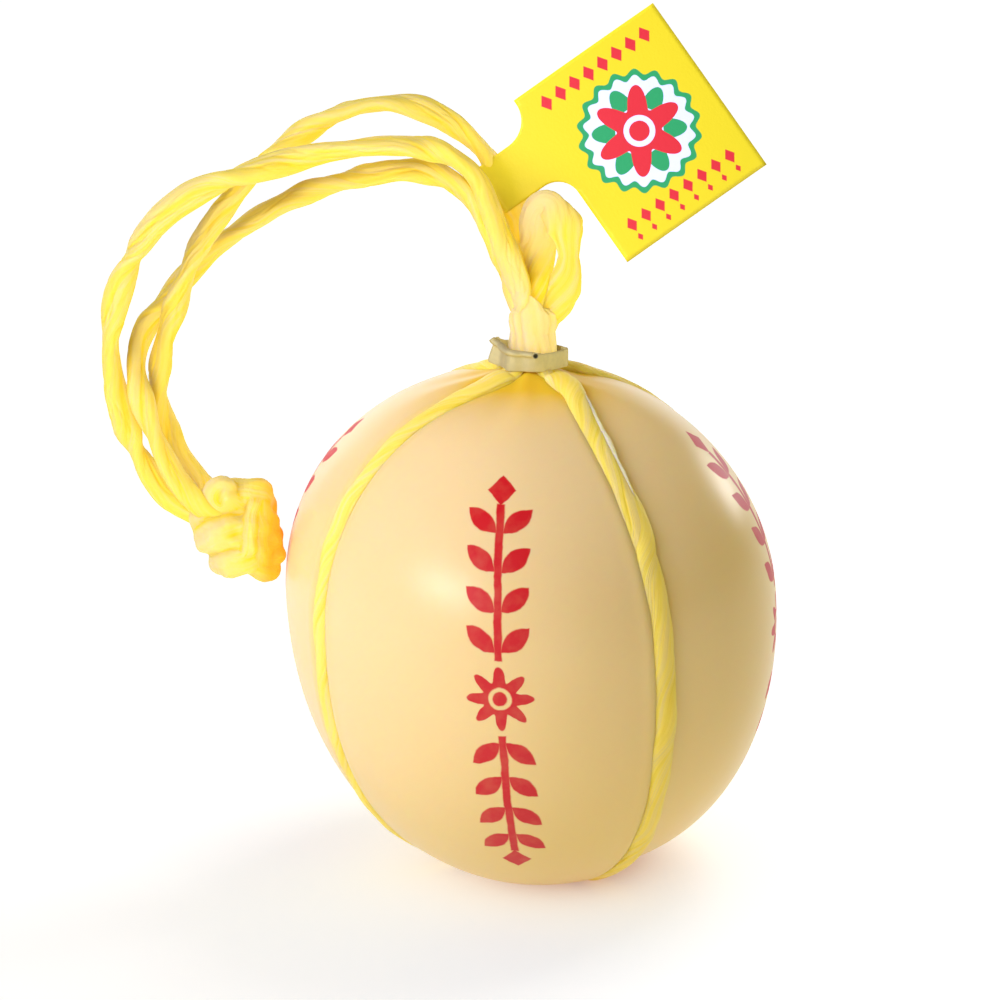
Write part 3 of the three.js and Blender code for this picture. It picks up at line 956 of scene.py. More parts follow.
def build_mesh(name, skins, map_name="Twine"):
    """One mesh of closed tubes, each from its rings, with map coordinates and marks."""
    vertices, faces, coordinates = [], [], []
    marks = {key: [] for skin in skins for key in skin.marks}
    total = 0
    for skin in skins:
        rows, columns = skin.rings.shape[:2]
        index = total + np.arange(rows * columns).reshape(rows, columns)
        after = np.roll(index, -1, axis=1)
        quads = np.stack([index[:-1], after[:-1], after[1:], index[1:]], axis=-1).reshape(-1, 4)
        along = np.broadcast_to(skin.along.reshape(rows, -1), skin.around.shape)
        chart = np.stack([along, skin.around], axis=-1)
        corners = [chart[:-1, :-1], chart[:-1, 1:], chart[1:, 1:], chart[1:, :-1]]
        first, last = total + rows * columns, total + rows * columns + 1
        fan_first = np.stack([np.full(columns, first), after[0], index[0]], axis=-1)
        fan_last = np.stack([np.full(columns, last), index[-1], after[-1]], axis=-1)
        vertices.append(skin.rings.reshape(-1, 3))
        vertices.append(skin.rings[[0, -1]].mean(axis=1))
        faces.extend(quads.tolist() + fan_first.tolist() + fan_last.tolist())
        coordinates.append(np.stack(corners, axis=2).reshape(-1, 2))
        coordinates.append(np.repeat(chart[[0, -1], 0], 3 * columns, axis=0))
        for key, values in marks.items():
            mark = np.broadcast_to(skin.marks.get(key, 0.0), (rows, columns))
            values.append(np.concatenate([mark.ravel(), mark[0, :1], mark[-1, :1]]))
        total += rows * columns + 2
    mesh = bpy.data.meshes.new(name)
    mesh.from_pydata(np.vstack(vertices).tolist(), [], faces)
    add_map(mesh, map_name, np.vstack(coordinates))
    for key, values in marks.items():
        add_mark(mesh, key, np.concatenate(values))
    return mesh


def add_map(mesh, name, coordinates):
    layer = mesh.uv_layers.new(name=name)
    layer.data.foreach_set("uv", np.asarray(coordinates, np.float32).ravel())


def add_mark(mesh, name, values):
    layer = mesh.attributes.new(name, "FLOAT", "POINT")
    layer.data.foreach_set("value", np.asarray(values, np.float32).ravel())


# Collection of the twine that hangs free, with its band
HANGING = "Hanging twine"

# Ending of the name of each collection that holds what a lamp spares
SPARES = " spares"


def spare(lamp, thing):
    """Keeps a lamp's light off a thing: off the floor, or off a piece that has a lamp of its own."""
    name = lamp + SPARES
    spared = bpy.data.collections.get(name) or bpy.data.collections.new(name)
    spared.objects.link(thing)
    spared.collection_objects[len(spared.objects) - 1].light_linking.link_state = "EXCLUDE"


def add_piece(name, mesh, material, slot, *nodes, hanging=False):
    """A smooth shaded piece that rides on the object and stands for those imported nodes.
    A hanging piece has lamps of its own in place of the key lamp."""
    mesh.shade_smooth()
    mesh.materials.append(material)
    piece = bpy.data.objects.new(name, mesh)
    bpy.context.scene.collection.objects.link(piece)
    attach(piece, "root")
    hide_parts(*nodes)
    if hanging:
        bpy.data.collections[HANGING].objects.link(piece)
        spare("Key", piece)
    return piece


def twine_finish(settings):
    """The film that all twine shares, made the first time it is asked for."""
    return bpy.data.materials.get("Twine film") or make_twine_film(settings.twine)


def egg_radius(cheese, polar):
    """Distance from the ball's middle to the egg's surface, before lobes and grooves."""
    across = np.sin(polar) / cheese.radius
    up = np.cos(polar)
    reach = np.where(up > 0, cheese.rise, cheese.drop)
    power = np.where(up > 0, RISE_POWER, DROP_POWER)
    return (across**power + (np.abs(up) / reach) ** power) ** (-1 / power)


def under_height(offset, upper):
    """Height of a sling cord's middle where it runs under the ball, the upper one humped over the lower."""
    return SLING_LOW + (CROSSING_RISE * bell(offset, CROSSING_REACH) if upper else 0.0)


def sling_azimuth(sling, polar):
    """Azimuth of a sling cord, which swings towards the band at the top and a little at the foot."""
    top = sling.top_swing * bell(polar, TOP_SWING_REACH)
    return sling.azimuth + top + sling.foot_swing * bell(math.pi - polar, sling.foot_reach)


def channel_height(polar, azimuth, rho):
    """Height of the channels that the ball's foot leaves for the cords."""
    height = np.zeros_like(rho)
    roof = SLING_THICKNESS / 2 + CHANNEL_CLEARANCE
    for sling in SLINGS:
        turn = azimuth - sling_azimuth(sling, polar)
        under = under_height(rho * np.cos(turn), sling.upper) + roof
        height = np.maximum(height, under * bell(rho * np.sin(turn), CHANNEL_REACH) - CHANNEL_LIP)
    return height


def ball_point(cheese, polar, azimuth, radius):
    """A point of the ball's own polar frame, sheared by its lean and swayed back at the crown."""
    rise = radius * np.cos(polar)
    rho = radius * np.sin(polar)
    sway = CROWN_SWAY * bell(polar, CROWN_REACH) - rise * math.tan(cheese.lean)
    return np.stack([rho * np.sin(azimuth) + sway, -rho * np.cos(azimuth), cheese.widest + rise], axis=-1)


def crowd(share, amount):
    """A share from 0 to 1, moved so that even steps crowd together at both ends."""
    return share - amount * np.sin(TURN * share) / TURN


def step_down(polar, azimuth, rho):
    """How far the right lobe lies back beside the front right cord, most of all near the foot."""
    turn = azimuth - sling_azimuth(SLINGS[0], polar)
    ahead = np.maximum(np.cos(turn), 0.0)
    right = np.maximum(rho * np.sin(turn), 0.0)
    low = 1 - bell(polar, STEP_TOP) + STEP_LOW * bell(polar - STEP_LOW_PLACE, STEP_LOW_REACH)
    return STEP_DEPTH * ahead * low * (1 - bell(right, STEP_EDGE)) * bell(right, STEP_REACH)


def cheese_radius(cheese, polar, azimuth):
    """Distance from the middle to the skin, and the distance along the skin to the nearest cord."""
    egg = egg_radius(cheese, polar)
    rho = egg * np.sin(polar)
    valley = 0.5 + 0.5 * np.cos(LOBES * (azimuth - SLINGS[0].azimuth))
    aside = np.min([np.abs(rho * np.sin(azimuth - sling_azimuth(s, polar))) for s in SLINGS], axis=0)
    pleat = sum(share * np.cos(count * azimuth + start) for share, count, start in PLEAT_WAVES)
    radius = egg - cheese.lobe_depth * valley * np.sin(polar) ** 2
    radius = radius - cheese.groove_depth * bell(aside, GROOVE_REACH)
    radius = radius + LIP_HEIGHT * bell(aside - LIP_PLACE, LIP_REACH) * np.sin(polar)
    radius = radius + NUB_HEIGHT * bell(polar, NUB_REACH) - step_down(polar, azimuth, rho)
    pleat = pleat * bell(polar - NUB_REACH, PLEAT_REACH) * np.sin(polar) / PLEAT_FULL_SINE
    radius = radius + PLEAT_HEIGHT * pleat
    up = np.cos(polar)
    floor = cheese.widest - channel_height(polar, azimuth, rho)
    flat = np.where(up < -FOOT_COSINE, floor / np.maximum(-up, FOOT_COSINE), np.inf)
    return np.minimum(radius, flat), aside


class Lamp(NamedTuple):
    """A rectangular studio lamp: its place, how its light shows and what it falls onto:
    the pieces without the floor, the hanging pieces alone, or all."""

    name: str
    azimuth: float
    elevation: float
    size: tuple
    colour: tuple = (1.0, 1.0, 1.0)
    diffuse: bool = True
    glossy: bool = True
    shadow: bool = True
    onto: str = "pieces"


# Azimuth, elevation, size and colour that the key lamp and the one on the hanging twine share
KEY_PLACE = (rad(-51), rad(36), (1.0, 0.9), (0.74, 0.80, 1.75))
LAMPS = (
    Lamp("Key", *KEY_PLACE, glossy=False),
    Lamp("Glint", rad(-42), rad(19), (0.7, 0.14), diffuse=False),
    Lamp("Gloss", rad(136), rad(12), (0.34, 0.26)),
    Lamp("Backdrop", rad(180), rad(9), (1.7, 0.5), diffuse=False),
    Lamp("Back", rad(140), rad(56), (0.5, 0.5), glossy=False, onto="all"),
    Lamp("Drape", *KEY_PLACE, glossy=False, onto="hanging"),
    Lamp("Fill", rad(34), rad(-18), (0.8, 0.8), glossy=False, shadow=False, onto="hanging"),
)


class CACIO_OT_stage(bpy.types.Operator):
    """Camera at the photograph's viewing angle, soft studio lights and a white floor"""

    bl_idname = "cacio.stage"
    bl_label = "Stage"

    AIM = Vector((-0.00754, 0.00785, 0.02157))
    FLOOR_HALF = 4.0
    LAMP_DISTANCE = 1.2

    def add_light(self, lamp, power):
        """A rectangular lamp at its place round the ball's middle, facing it."""
        level = math.cos(lamp.elevation)
        ahead = -math.cos(lamp.azimuth) * level
        direction = Vector((math.sin(lamp.azimuth) * level, ahead, math.sin(lamp.elevation)))
        data = bpy.data.lights.new(lamp.name, "AREA")
        data.shape = "RECTANGLE"
        data.size, data.size_y = lamp.size
        data.energy = power
        data.color = lamp.colour
        data.use_shadow = lamp.shadow
        light = bpy.data.objects.new(lamp.name, data)
        light.location = self.middle + direction * self.LAMP_DISTANCE
        light.rotation_mode = "QUATERNION"
        light.rotation_quaternion = direction.to_track_quat("Z", "Y")
        light.visible_diffuse = lamp.diffuse
        light.visible_glossy = lamp.glossy
        bpy.context.scene.collection.objects.link(light)
        return light

    def add_camera(self, stage):
        data = bpy.data.cameras.new("Camera")
        data.lens = stage.lens
        camera = bpy.data.objects.new("Camera", data)
        back = Vector((0.0, -math.cos(stage.elevation), math.sin(stage.elevation)))
        camera.location = self.middle + back * stage.distance
        camera.rotation_mode = "QUATERNION"
        aim = self.middle + self.AIM - camera.location
        camera.rotation_quaternion = aim.to_track_quat("-Z", "Y")
        bpy.context.scene.collection.objects.link(camera)
        bpy.context.scene.camera = camera

    def add_floor(self):
        half = self.FLOOR_HALF
        mesh = bpy.data.meshes.new("Floor")
        corners = [(-half, -half, 0), (half, -half, 0), (half, half, 0), (-half, half, 0)]
        mesh.from_pydata(corners, [], [(0, 1, 2, 3)])
        mesh.materials.append(make_floor_paint())
        floor = bpy.data.objects.new("Floor", mesh)
        bpy.context.scene.collection.objects.link(floor)
        return floor

    def add_world(self, stage):
        world = bpy.data.worlds.new("Studio")
        world.use_nodes = True
        background = world.node_tree.nodes["Background"]
        background.inputs["Color"].default_value = (1.0, 1.0, 1.0, 1.0)
        background.inputs["Strength"].default_value = stage.surround
        bpy.context.scene.world = world

    def execute(self, context):
        settings = context.scene.caciocavallo
        stage = settings.stage
        self.middle = Vector((0.0, 0.0, settings.cheese.widest))
        self.add_camera(stage)
        self.add_world(stage)
        floor = self.add_floor()
        hanging = bpy.data.collections.new(HANGING)
        for lamp in LAMPS:
            light = self.add_light(lamp, getattr(stage, lamp.name.lower()))
            if lamp.onto == "hanging":
                light.light_linking.receiver_collection = hanging
            elif lamp.onto == "pieces":
                spare(lamp.name, floor)
                light.light_linking.receiver_collection = bpy.data.collections[lamp.name + SPARES]
        context.scene.view_settings.view_transform = "Standard"
        return {"FINISHED"}


class Bundle(NamedTuple):
    """Points along all turns of the knot, each with its sides, half width and the turn that it belongs to."""

    middle: np.ndarray
    side: np.ndarray
    up: np.ndarray
    along: np.ndarray
    reach: np.ndarray
    owner: np.ndarray
    starts: np.ndarray

    def gaps(self, place):
        """Distances from each place to the twine round each point."""
        squares = np.sum(place**2, axis=1)[:, None] + np.sum(self.middle**2, axis=1)
        return np.sqrt((squares - 2 * place @ self.middle.T).clip(0)) - self.reach

    def turn_gaps(self, gaps):
        """The least of those distances for each turn."""
        return np.minimum.reduceat(gaps, self.starts, axis=1)


class CACIO_OT_knot(bpy.types.Operator):
    """Knot of the three strands, with short cut ends"""

    bl_idname = "cacio.knot"
    bl_label = "Knot"

    SEED = 31
    STEP = 0.0009
    GRID = (140, 200)
    POLES = rad(3)
    TRACE_FROM = 0.019
    TRACE_STEPS = 26
    TRACE_SHARE = 0.8
    BLEND = 0.00045
    LINES = ((5, 0.5), (9, 0.3), (15, 0.2))
    LINE_DEPTH = 0.00016
    LINE_TWIST = 160.0
    LINE_MARK = 0.3
    SEAM = 0.0009
    SEAM_MARK = 1.4
    LUMPS = 5
    LUMP_SPREAD = 7
    LUMP_HEIGHT = 0.00018
    PALE_FROM = 0.0035
    PALE_REACH = 0.010
    PALE_MOST = 0.6
    WARM_FROM = 0.0034
    WARM_REACH = 0.0046
    WARM_MOST = 0.95
    WARM_LEVEL = 0.9
    WARM_FALL = 0.016
    WARM_LEAST = 0.4

    def bundle(self):
        """The twine of all turns, in small steps."""
        lines = [smooth_route(turn.points, self.STEP) for turn in KNOT_TURNS]
        sizes = [len(line) for line, _ in lines]
        owner = np.repeat(np.arange(len(lines)), sizes)
        side, up = (np.vstack(sides) for sides in zip(*(carried_sides(line) for line, _ in lines)))
        return Bundle(
            middle=np.vstack([line for line, _ in lines]),
            side=side,
            up=up,
            along=np.concatenate([along for _, along in lines]),
            reach=np.array([turn.reach for turn in KNOT_TURNS])[owner],
            owner=owner,
            starts=np.cumsum([0] + sizes[:-1]),
        )

    def directions(self):
        """Directions from the knot's centre, row by row from its foot to its top."""
        rows, columns = self.GRID
        levels = np.linspace(self.POLES, math.pi - self.POLES, rows)
        polar, angle = np.meshgrid(levels, np.linspace(0, TURN, columns + 1), indexing="ij")
        flat = np.sin(polar)
        return np.stack([flat * np.cos(angle), flat * np.sin(angle), -np.cos(polar)], axis=-1).reshape(-1, 3)

    def traced(self, bundle, way):
        """Distance in each direction to a soft skin that closes over all turns."""
        radius = np.full(len(way), self.TRACE_FROM)
        for _ in range(self.TRACE_STEPS):
            each = bundle.turn_gaps(bundle.gaps(way * radius[:, None]))
            radius += self.TRACE_SHARE * self.BLEND * np.log(np.sum(np.exp(-each / self.BLEND), axis=1))
        return radius

    def mass(self):
        """The soft skin: the film's lines along each turn, with painted golden shade in seams and hollows
        between them.
        """
        rng = np.random.default_rng(self.SEED)
        rows, columns = self.GRID
        bundle = self.bundle()
        way = self.directions()
        radius = self.traced(bundle, way)
        gap = bundle.gaps(way * radius[:, None])
        first, second = np.sort(bundle.turn_gaps(gap), axis=1)[:, :2].T
        seam = bell(second - first, self.SEAM)
        near = np.argmin(gap, axis=1)
        along = bundle.along[near]
        out = way * radius[:, None] - bundle.middle[near]
        around = np.arctan2(np.sum(out * bundle.up[near], axis=1), np.sum(out * bundle.side[near], axis=1))
        starts = TURN * rng.random(len(KNOT_TURNS))
        turn = around + self.LINE_TWIST * along + starts[bundle.owner[near]]
        line = sum(share * np.cos(count * turn) for count, share in self.LINES)
        axes = rng.normal(0, self.LUMP_SPREAD, (self.LUMPS, 3))
        lump = sum(np.sin(way @ axis + start) for axis, start in zip(axes, rng.random(self.LUMPS) * TURN))
        radius += self.LINE_DEPTH * line * (1 - seam) + self.LUMP_HEIGHT * lump
        # The crease mark paints golden shade into the seams, the hollows and the valleys of the lines
        crease = self.SEAM_MARK * seam + self.LINE_MARK * np.maximum(-line, 0)
        for point, spread, depth in KNOT_HOLLOWS:
            hollow = bell(np.arccos((way @ unit(np.array(point))).clip(-1, 1)), spread)
            radius -= depth * hollow
            crease = np.maximum(crease, self.SEAM_MARK * hollow)
        crease = crease.clip(0, self.SEAM_MARK).reshape(rows, -1)
        rings = (way * radius[:, None] + KNOT_CENTRE).reshape(rows, columns + 1, 3)
        chart = [values.reshape(rows, -1) for values in (along, np.abs(around) / TURN)]
        return Skin(rings[:, :-1], *chart, {"crease": crease[:, :-1]})

    def warm(self, right, up):
        """Orange tint that grows towards the knot's right side, less at its top."""
        low = np.clip(self.WARM_LEVEL - up / self.WARM_FALL, self.WARM_LEAST, 1)
        return np.clip((right - self.WARM_FROM) / self.WARM_REACH * low, 0, self.WARM_MOST)

    def execute(self, context):
        settings = context.scene.caciocavallo
        skin = self.mass()
        right = skin.rings[..., 0] - KNOT_CENTRE[0]
        skin.marks["warm"] = self.warm(right, skin.rings[..., 2] - KNOT_CENTRE[2])
        plain = (1 - skin.marks["crease"]).clip(0, 1)
        # Painted light: pale film on the knot's left side, where the key lamp falls, kept off its creases
        skin.marks["pale"] = self.PALE_MOST * ((self.PALE_FROM - right) / self.PALE_REACH).clip(0, 1) * plain
        mesh = build_mesh("knot_twine", [skin])
        add_piece("knot_twine", mesh, twine_finish(settings), "twine", "knot", hanging=True)
        return {"FINISHED"}


def axis_turn(angle, first, second):
    """Matrix of a turn that carries the first axis towards the second."""
    matrix = np.eye(3)
    matrix[[first, second], [first, second]] = math.cos(angle)
    matrix[first, second] = -math.sin(angle)
    matrix[second, first] = math.sin(angle)
    return matrix


class CACIO_OT_tag(bpy.types.Operator):
    """Bowed card tag with a tab that is slipped between the strands"""

    bl_idname = "cacio.tag"
    bl_label = "Tag"

    ROWS = (1, 22, 17)
    PLATE_COLUMNS = 36
    TAB_COLUMNS = 18
    TAB_BOW = -1.5
    WAVE_SHARE = 0.4
    WAVE_REACH = 0.017
    WELD = 0.00002

    def tab_levels(self, across):
        """Top and bottom of the tab at a distance along it, with a rounded corner into the plate."""
        inner_top = np.clip(TAB_ARC_TOP - across, 0, None)
        inner_bottom = np.clip(TAB_ARC_BOTTOM - across, 0, None)
        top = TAB_FROM - TAB_ARC_TOP + np.sqrt(np.clip(TAB_ARC_TOP**2 - inner_top**2, 0, None))
        bottom = TAB_TO + TAB_ARC_BOTTOM - np.sqrt(np.clip(TAB_ARC_BOTTOM**2 - inner_bottom**2, 0, None))
        return top, bottom

    def grids(self):
        """Points of the plate and of the tab in the card's plane, row by row."""
        width, height = TAG_SIZE
        top, bottom = self.tab_levels(np.array(0.0))
        levels = [0.0, float(top), float(bottom), height]
        rows = [np.linspace(a, b, n, endpoint=False) for a, b, n in zip(levels, levels[1:], self.ROWS)]
        rows = np.concatenate([*rows, [height]])
        plate = np.stack(np.meshgrid(np.linspace(0, width, self.PLATE_COLUMNS + 1), rows), axis=-1)
        across = TAB_LENGTH * (1 - np.cos(np.linspace(0, math.pi / 2, self.TAB_COLUMNS + 1)))
        tops, bottoms = self.tab_levels(across)
        share = np.linspace(0, 1, self.ROWS[1] + 1)[:, None]
        level = tops + share * (bottoms - tops)
        tab = np.stack([np.broadcast_to(-across, level.shape), level], axis=-1)
        return plate, tab[:, ::-1]

    def placed(self, points):
        """Turns points of the card's own frame into its place on the strands."""
        turn = axis_turn(TAG_TILT, 1, 2) @ axis_turn(TAG_TURN, 0, 1)
        return points @ turn.T + TAG_CORNER

    def execute(self, context):
        tag = context.scene.caciocavallo.tag
        vertices, faces = [], []
        for grid in self.grids():
            rows, columns = grid.shape[:2]
            index = len(vertices) + np.arange(rows * columns).reshape(rows, columns)
            quads = np.stack([index[:-1, :-1], index[1:, :-1], index[1:, 1:], index[:-1, 1:]], axis=-1)
            faces.extend(quads.reshape(-1, 4).tolist())
            vertices.extend(grid.reshape(-1, 2).tolist())
        flat = np.array(vertices)
        middle = flat[:, 0] / TAG_SIZE[0] * 2 - 1
        bow = tag.bow * (1 - middle**2).clip(self.TAB_BOW, 1)
        bow = bow + self.WAVE_SHARE * tag.bow * np.sin(flat[:, 1] / self.WAVE_REACH)
        points = np.column_stack([flat[:, 0], -flat[:, 1], bow])
        mesh = bpy.data.meshes.new("tag_card")
        mesh.from_pydata(self.placed(points).tolist(), [], faces)
        add_map(mesh, "Print", flat[np.array(faces).ravel()] / MM)
        piece = add_piece("tag_card", mesh, make_tag_card(tag), "tag", "tag")
        weld = piece.modifiers.new("Weld", "WELD")
        weld.merge_threshold = self.WELD
        solid = piece.modifiers.new("Card", "SOLIDIFY")
        solid.thickness = tag.thickness
        solid.offset = 0.0
        return {"FINISHED"}


class StrandLook(NamedTuple):
    """Half width of a strand, its spread above the neck, the side of its painted golden shade and its pale
    stretch.
    """

    reach: float
    spread: float
    gold_side: float
    pale_reach: float


class CACIO_OT_strands(bpy.types.Operator):
    """Three hanging strands of twisted film, from the band to the knot"""

    bl_idname = "cacio.strands"
    bl_label = "Strands"

    FIRST_SEED = 21
    LOOKS = {
        "strand_outer": StrandLook(0.0033, 0.0, 4.4, 0.026),
        "strand_middle": StrandLook(0.0030, 0.1, 4.4, 0.014),
        "strand_inner": StrandLook(0.0030, 0.4, 2.2, 0.030),
    }
    SPREAD_PLACE = 0.034
    SPREAD_REACH = 0.012
    NARROWING = 0.72
    NARROW_REACH = 0.014
    GOLD_MARK = 1.6
    GOLD_PLACE = 0.034
    GOLD_REACH = 0.018
    GOLD_WIDTH = 0.55

    def gold(self, side, along, columns):
        """Painted deep golden shade where the strand lies against its neighbour, above the neck."""
        angle = np.linspace(0, TURN, columns, endpoint=False)
        away = (angle - side + math.pi) % TURN - math.pi
        place = bell(along - self.GOLD_PLACE, self.GOLD_REACH)
        return self.GOLD_MARK * place[:, None] * bell(away, self.GOLD_WIDTH)[None]

    def execute(self, context):
        settings = context.scene.caciocavallo
        twine = settings.twine
        for seed, (node, route) in enumerate(STRAND_ROUTES.items(), start=self.FIRST_SEED):
            look = self.LOOKS[node]
            lay = Lay(look.reach, pitch=twine.pitch)
            line, along = smooth_route(route, lay.step)
            narrow = self.NARROWING * bell(along, self.NARROW_REACH)
            swell = 1 - narrow + look.spread * bell(along - self.SPREAD_PLACE, self.SPREAD_REACH)
            skin = twist_film(line, along, carried_sides(line), lay, seed, swell)
            gold = self.gold(look.gold_side, along, lay.columns)
            skin.marks["crease"][:] = np.maximum(skin.marks["crease"], gold)
            skin.marks["pale"] = (bell(along, look.pale_reach)[:, None] - gold).clip(0, 1)
            mesh = build_mesh(f"{node}_twine", [skin])
            piece = add_piece(f"{node}_twine", mesh, twine_finish(settings), "twine", node, hanging=True)
        return {"FINISHED"}


class CACIO_OT_cheese(bpy.types.Operator):
    """Ball of cheese with four lobes pressed in by the twine"""

    bl_idname = "cacio.cheese"
    bl_label = "Cheese"

    def chart(self, cheese, polar, turn, columns):
        """Stamp coordinates of each face corner in millimetres: across its lobe and down from the pole."""
        line = ball_point(cheese, polar, np.zeros_like(polar), egg_radius(cheese, polar))
        steps = np.linalg.norm(np.diff(line, axis=0), axis=1)
        down = np.concatenate([[0.0], np.cumsum(steps)]) / MM
        lobe = np.arange(columns) * LOBES // columns
        middle = STAMP_AZIMUTH + TURN * (lobe + 1) / LOBES
        rho = egg_radius(cheese, polar) * np.sin(polar) / MM
        corners = []
        for row, column in ((0, 0), (1, 0), (1, 1), (0, 1)):
            away = turn[column : columns + column] - middle
            across = rho[row : len(rho) - 1 + row, None] * np.sin(away)[None]
            level = np.broadcast_to(down[row : len(down) - 1 + row, None], across.shape)
            corners.append(np.stack([across, level], axis=-1))
        return np.stack(corners, axis=2).reshape(-1, 2)

    def execute(self, context):
        cheese = context.scene.caciocavallo.cheese
        polar = math.pi * crowd(np.linspace(POLE_GAP, 1 - POLE_GAP, BALL_RINGS + 1), RING_CROWDING)
        cell = np.linspace(0, LOBES, BALL_COLUMNS + 1)
        turn = SLINGS[0].azimuth + TURN * (np.floor(cell) + crowd(cell % 1, COLUMN_CROWDING)) / LOBES
        polars, azimuths = np.meshgrid(polar, turn[:-1], indexing="ij")
        radius, aside = cheese_radius(cheese, polars, azimuths)
        points = ball_point(cheese, polars, azimuths, radius)
        index = np.arange(points[..., 0].size).reshape(points.shape[:2])
        after = np.roll(index, -1, axis=1)
        quads = np.stack([index[:-1], index[1:], after[1:], after[:-1]], axis=-1).reshape(-1, 4)
        caps = [index[0].tolist(), index[-1][::-1].tolist()]
        mesh = bpy.data.meshes.new("cheese_skin")
        mesh.from_pydata(points.reshape(-1, 3).tolist(), [], quads.tolist() + caps)
        chart = self.chart(cheese, polar, turn, BALL_COLUMNS)
        add_map(mesh, "Stamp", np.vstack([chart, np.zeros((2 * BALL_COLUMNS, 2))]))
        # The groove mark places painted shade in the skin beside each cord
        add_mark(mesh, "groove", bell(aside, GROOVE_SHADE_REACH))
        # The crown mark places painted shade round the top, under the band and the twine, reaching furthest on
        # the right
        away = (azimuths - CROWN_SHADE_AZIMUTH + math.pi) % TURN - math.pi
        add_mark(mesh, "crown", bell(polars, GOLD_REACH + CROWN_SHADE_SPREAD * bell(away, GOLD_WIDTH)))
        add_piece("cheese_skin", mesh, make_cheese_skin(cheese), "cheese", "cheese")
        return {"FINISHED"}


class CACIO_OT_sling(bpy.types.Operator):
    """Two lengths of twine that cross under the ball and rise into the band"""

    bl_idname = "cacio.sling"
    bl_label = "Sling"

    LAY = Lay(
        0.0033,
        ply_share=0.86,
        squash=0.9,
        pitch=0.045,
        flat=(0.5, 1.0),
        creases=8,
        crease_depth=0.07,
        columns=56,
    )
    LEAD_IN = ((0.40, 0.1296), (0.62, 0.1272))
    UNDER_ANGLE = 1.2
    LEAST_DROP = 1e-3
    FLARE = 0.3
    FLARE_PLACE = 0.010
    FLARE_REACH = 0.007
    END_SLIMMING = 0.3
    END_REACH = 0.005
    GOLD_REACH = 0.020
    GOLD_MARK = 0.45
    CREASE_MARK = 0.6
    EDGE = Lay(0.0007, ply_share=0.95, squash=0.9, creases=3, crease_depth=0.05, columns=20)
    EDGE_SEED = 16
    EDGE_SPAN = (0.011, 0.054)
    EDGE_ASIDE = 0.0019
    EDGE_RISE = 0.0011
    EDGE_SWING = Swing(1.0, 0.013)
    EDGE_SWING_SEED = 15
    EDGE_WANDER = 0.0001
    EDGE_SWELL = 0.25
    EDGE_TAPER = 1.8
    EDGE_TIP = 0.02

    def centre(self, cheese, sling):
        """The cord's middle from the crown down one side, under the ball and up the other side."""
        sweep = np.linspace(SLING_START, TURN - SLING_START, SLING_POINTS)
        polar = np.where(sweep <= math.pi, sweep, TURN - sweep)
        azimuth = sling_azimuth(sling, polar) + np.where(sweep <= math.pi, 0.0, math.pi)
        groove = egg_radius(cheese, polar) - cheese.lobe_depth * np.sin(polar) ** 2 - cheese.groove_depth
        radius = groove + SLING_THICKNESS / 2 + SLING_SINK + CROWN_LIFT * bell(polar, CROWN_LIFT_REACH)
        drop = np.maximum(-np.cos(polar), self.LEAST_DROP)
        offset = cheese.widest * np.tan(np.minimum(math.pi - polar, self.UNDER_ANGLE))
        under = (cheese.widest - under_height(offset, sling.upper)) / drop
        radius = np.where(np.cos(polar) < 0, np.minimum(radius, under), radius)
        return ball_point(cheese, polar, azimuth, radius)

    def lead(self, end):
        """Points that lead a cord from inside the band down to its end on the crown."""
        return [(BAND_X + share * (end[0] - BAND_X), share * end[1], level) for share, level in self.LEAD_IN]

    def film_edge(self, line, along, middle, swell):
        """Turned-up edge of the film along the cord's right side, below the band, painted pale cream as its
        highlight.
        """
        inward, right = facing_sides(line, middle)
        share = (along - self.EDGE_SPAN[0]) / (self.EDGE_SPAN[1] - self.EDGE_SPAN[0])
        rows = (share >= 0) & (share <= 1)
        wave = waves(along[rows], self.EDGE_SWING, np.random.default_rng(self.EDGE_SWING_SEED))
        wide = self.EDGE_ASIDE * swell[rows] + self.EDGE_WANDER * wave
        edge = line[rows] + wide[:, None] * right[rows] - self.EDGE_RISE * inward[rows]
        taper = np.sin(math.pi * share[rows].clip(self.EDGE_TIP, 1 - self.EDGE_TIP)) ** self.EDGE_TAPER
        slim = taper * (1 + self.EDGE_SWELL * wave)
        skin = twist_film(edge, along[rows], facing_sides(edge, middle), self.EDGE, self.EDGE_SEED, slim)
        skin.marks["crease"][:] = 0.0
        # Painted highlight: the whole turned-up edge takes the pale cream colour
        skin.marks["edge"] = np.ones_like(skin.marks["crease"])
        return skin

    def execute(self, context):
        settings = context.scene.caciocavallo
        cheese = settings.cheese
        middle = (0.0, 0.0, cheese.widest)
        for sling in SLINGS:
            points = self.centre(cheese, sling)
            points = np.vstack([self.lead(points[0]), points, self.lead(points[-1])[::-1]])
            line, along = smooth_route(points, self.LAY.step)
            flare = both_ends(along, self.FLARE_PLACE, self.FLARE_REACH)
            swell = 1 + self.FLARE * flare - self.END_SLIMMING * both_ends(along, 0.0, self.END_REACH)
            skin = twist_film(line, along, facing_sides(line, middle), self.LAY, sling.seed, swell)
            # Painted golden shade near both ends, where the cords run in under the band, and painted shade in
            # their creases
            gold = self.GOLD_MARK * both_ends(along, 0.0, self.GOLD_REACH)
            crease = skin.marks["crease"]
            crease[:] = (self.CREASE_MARK * crease + gold[:, None]).clip(0, 1)
            # Painted light: the cords on the ball take the brighter copy of the film colour
            skin.marks["tight"] = np.ones_like(crease)
            skins = [skin, self.film_edge(line, along, middle, swell)] if sling.upper else [skin]
            mesh = build_mesh(f"{sling.node}_twine", skins)
            add_piece(f"{sling.node}_twine", mesh, twine_finish(settings), "twine", sling.node)
        return {"FINISHED"}


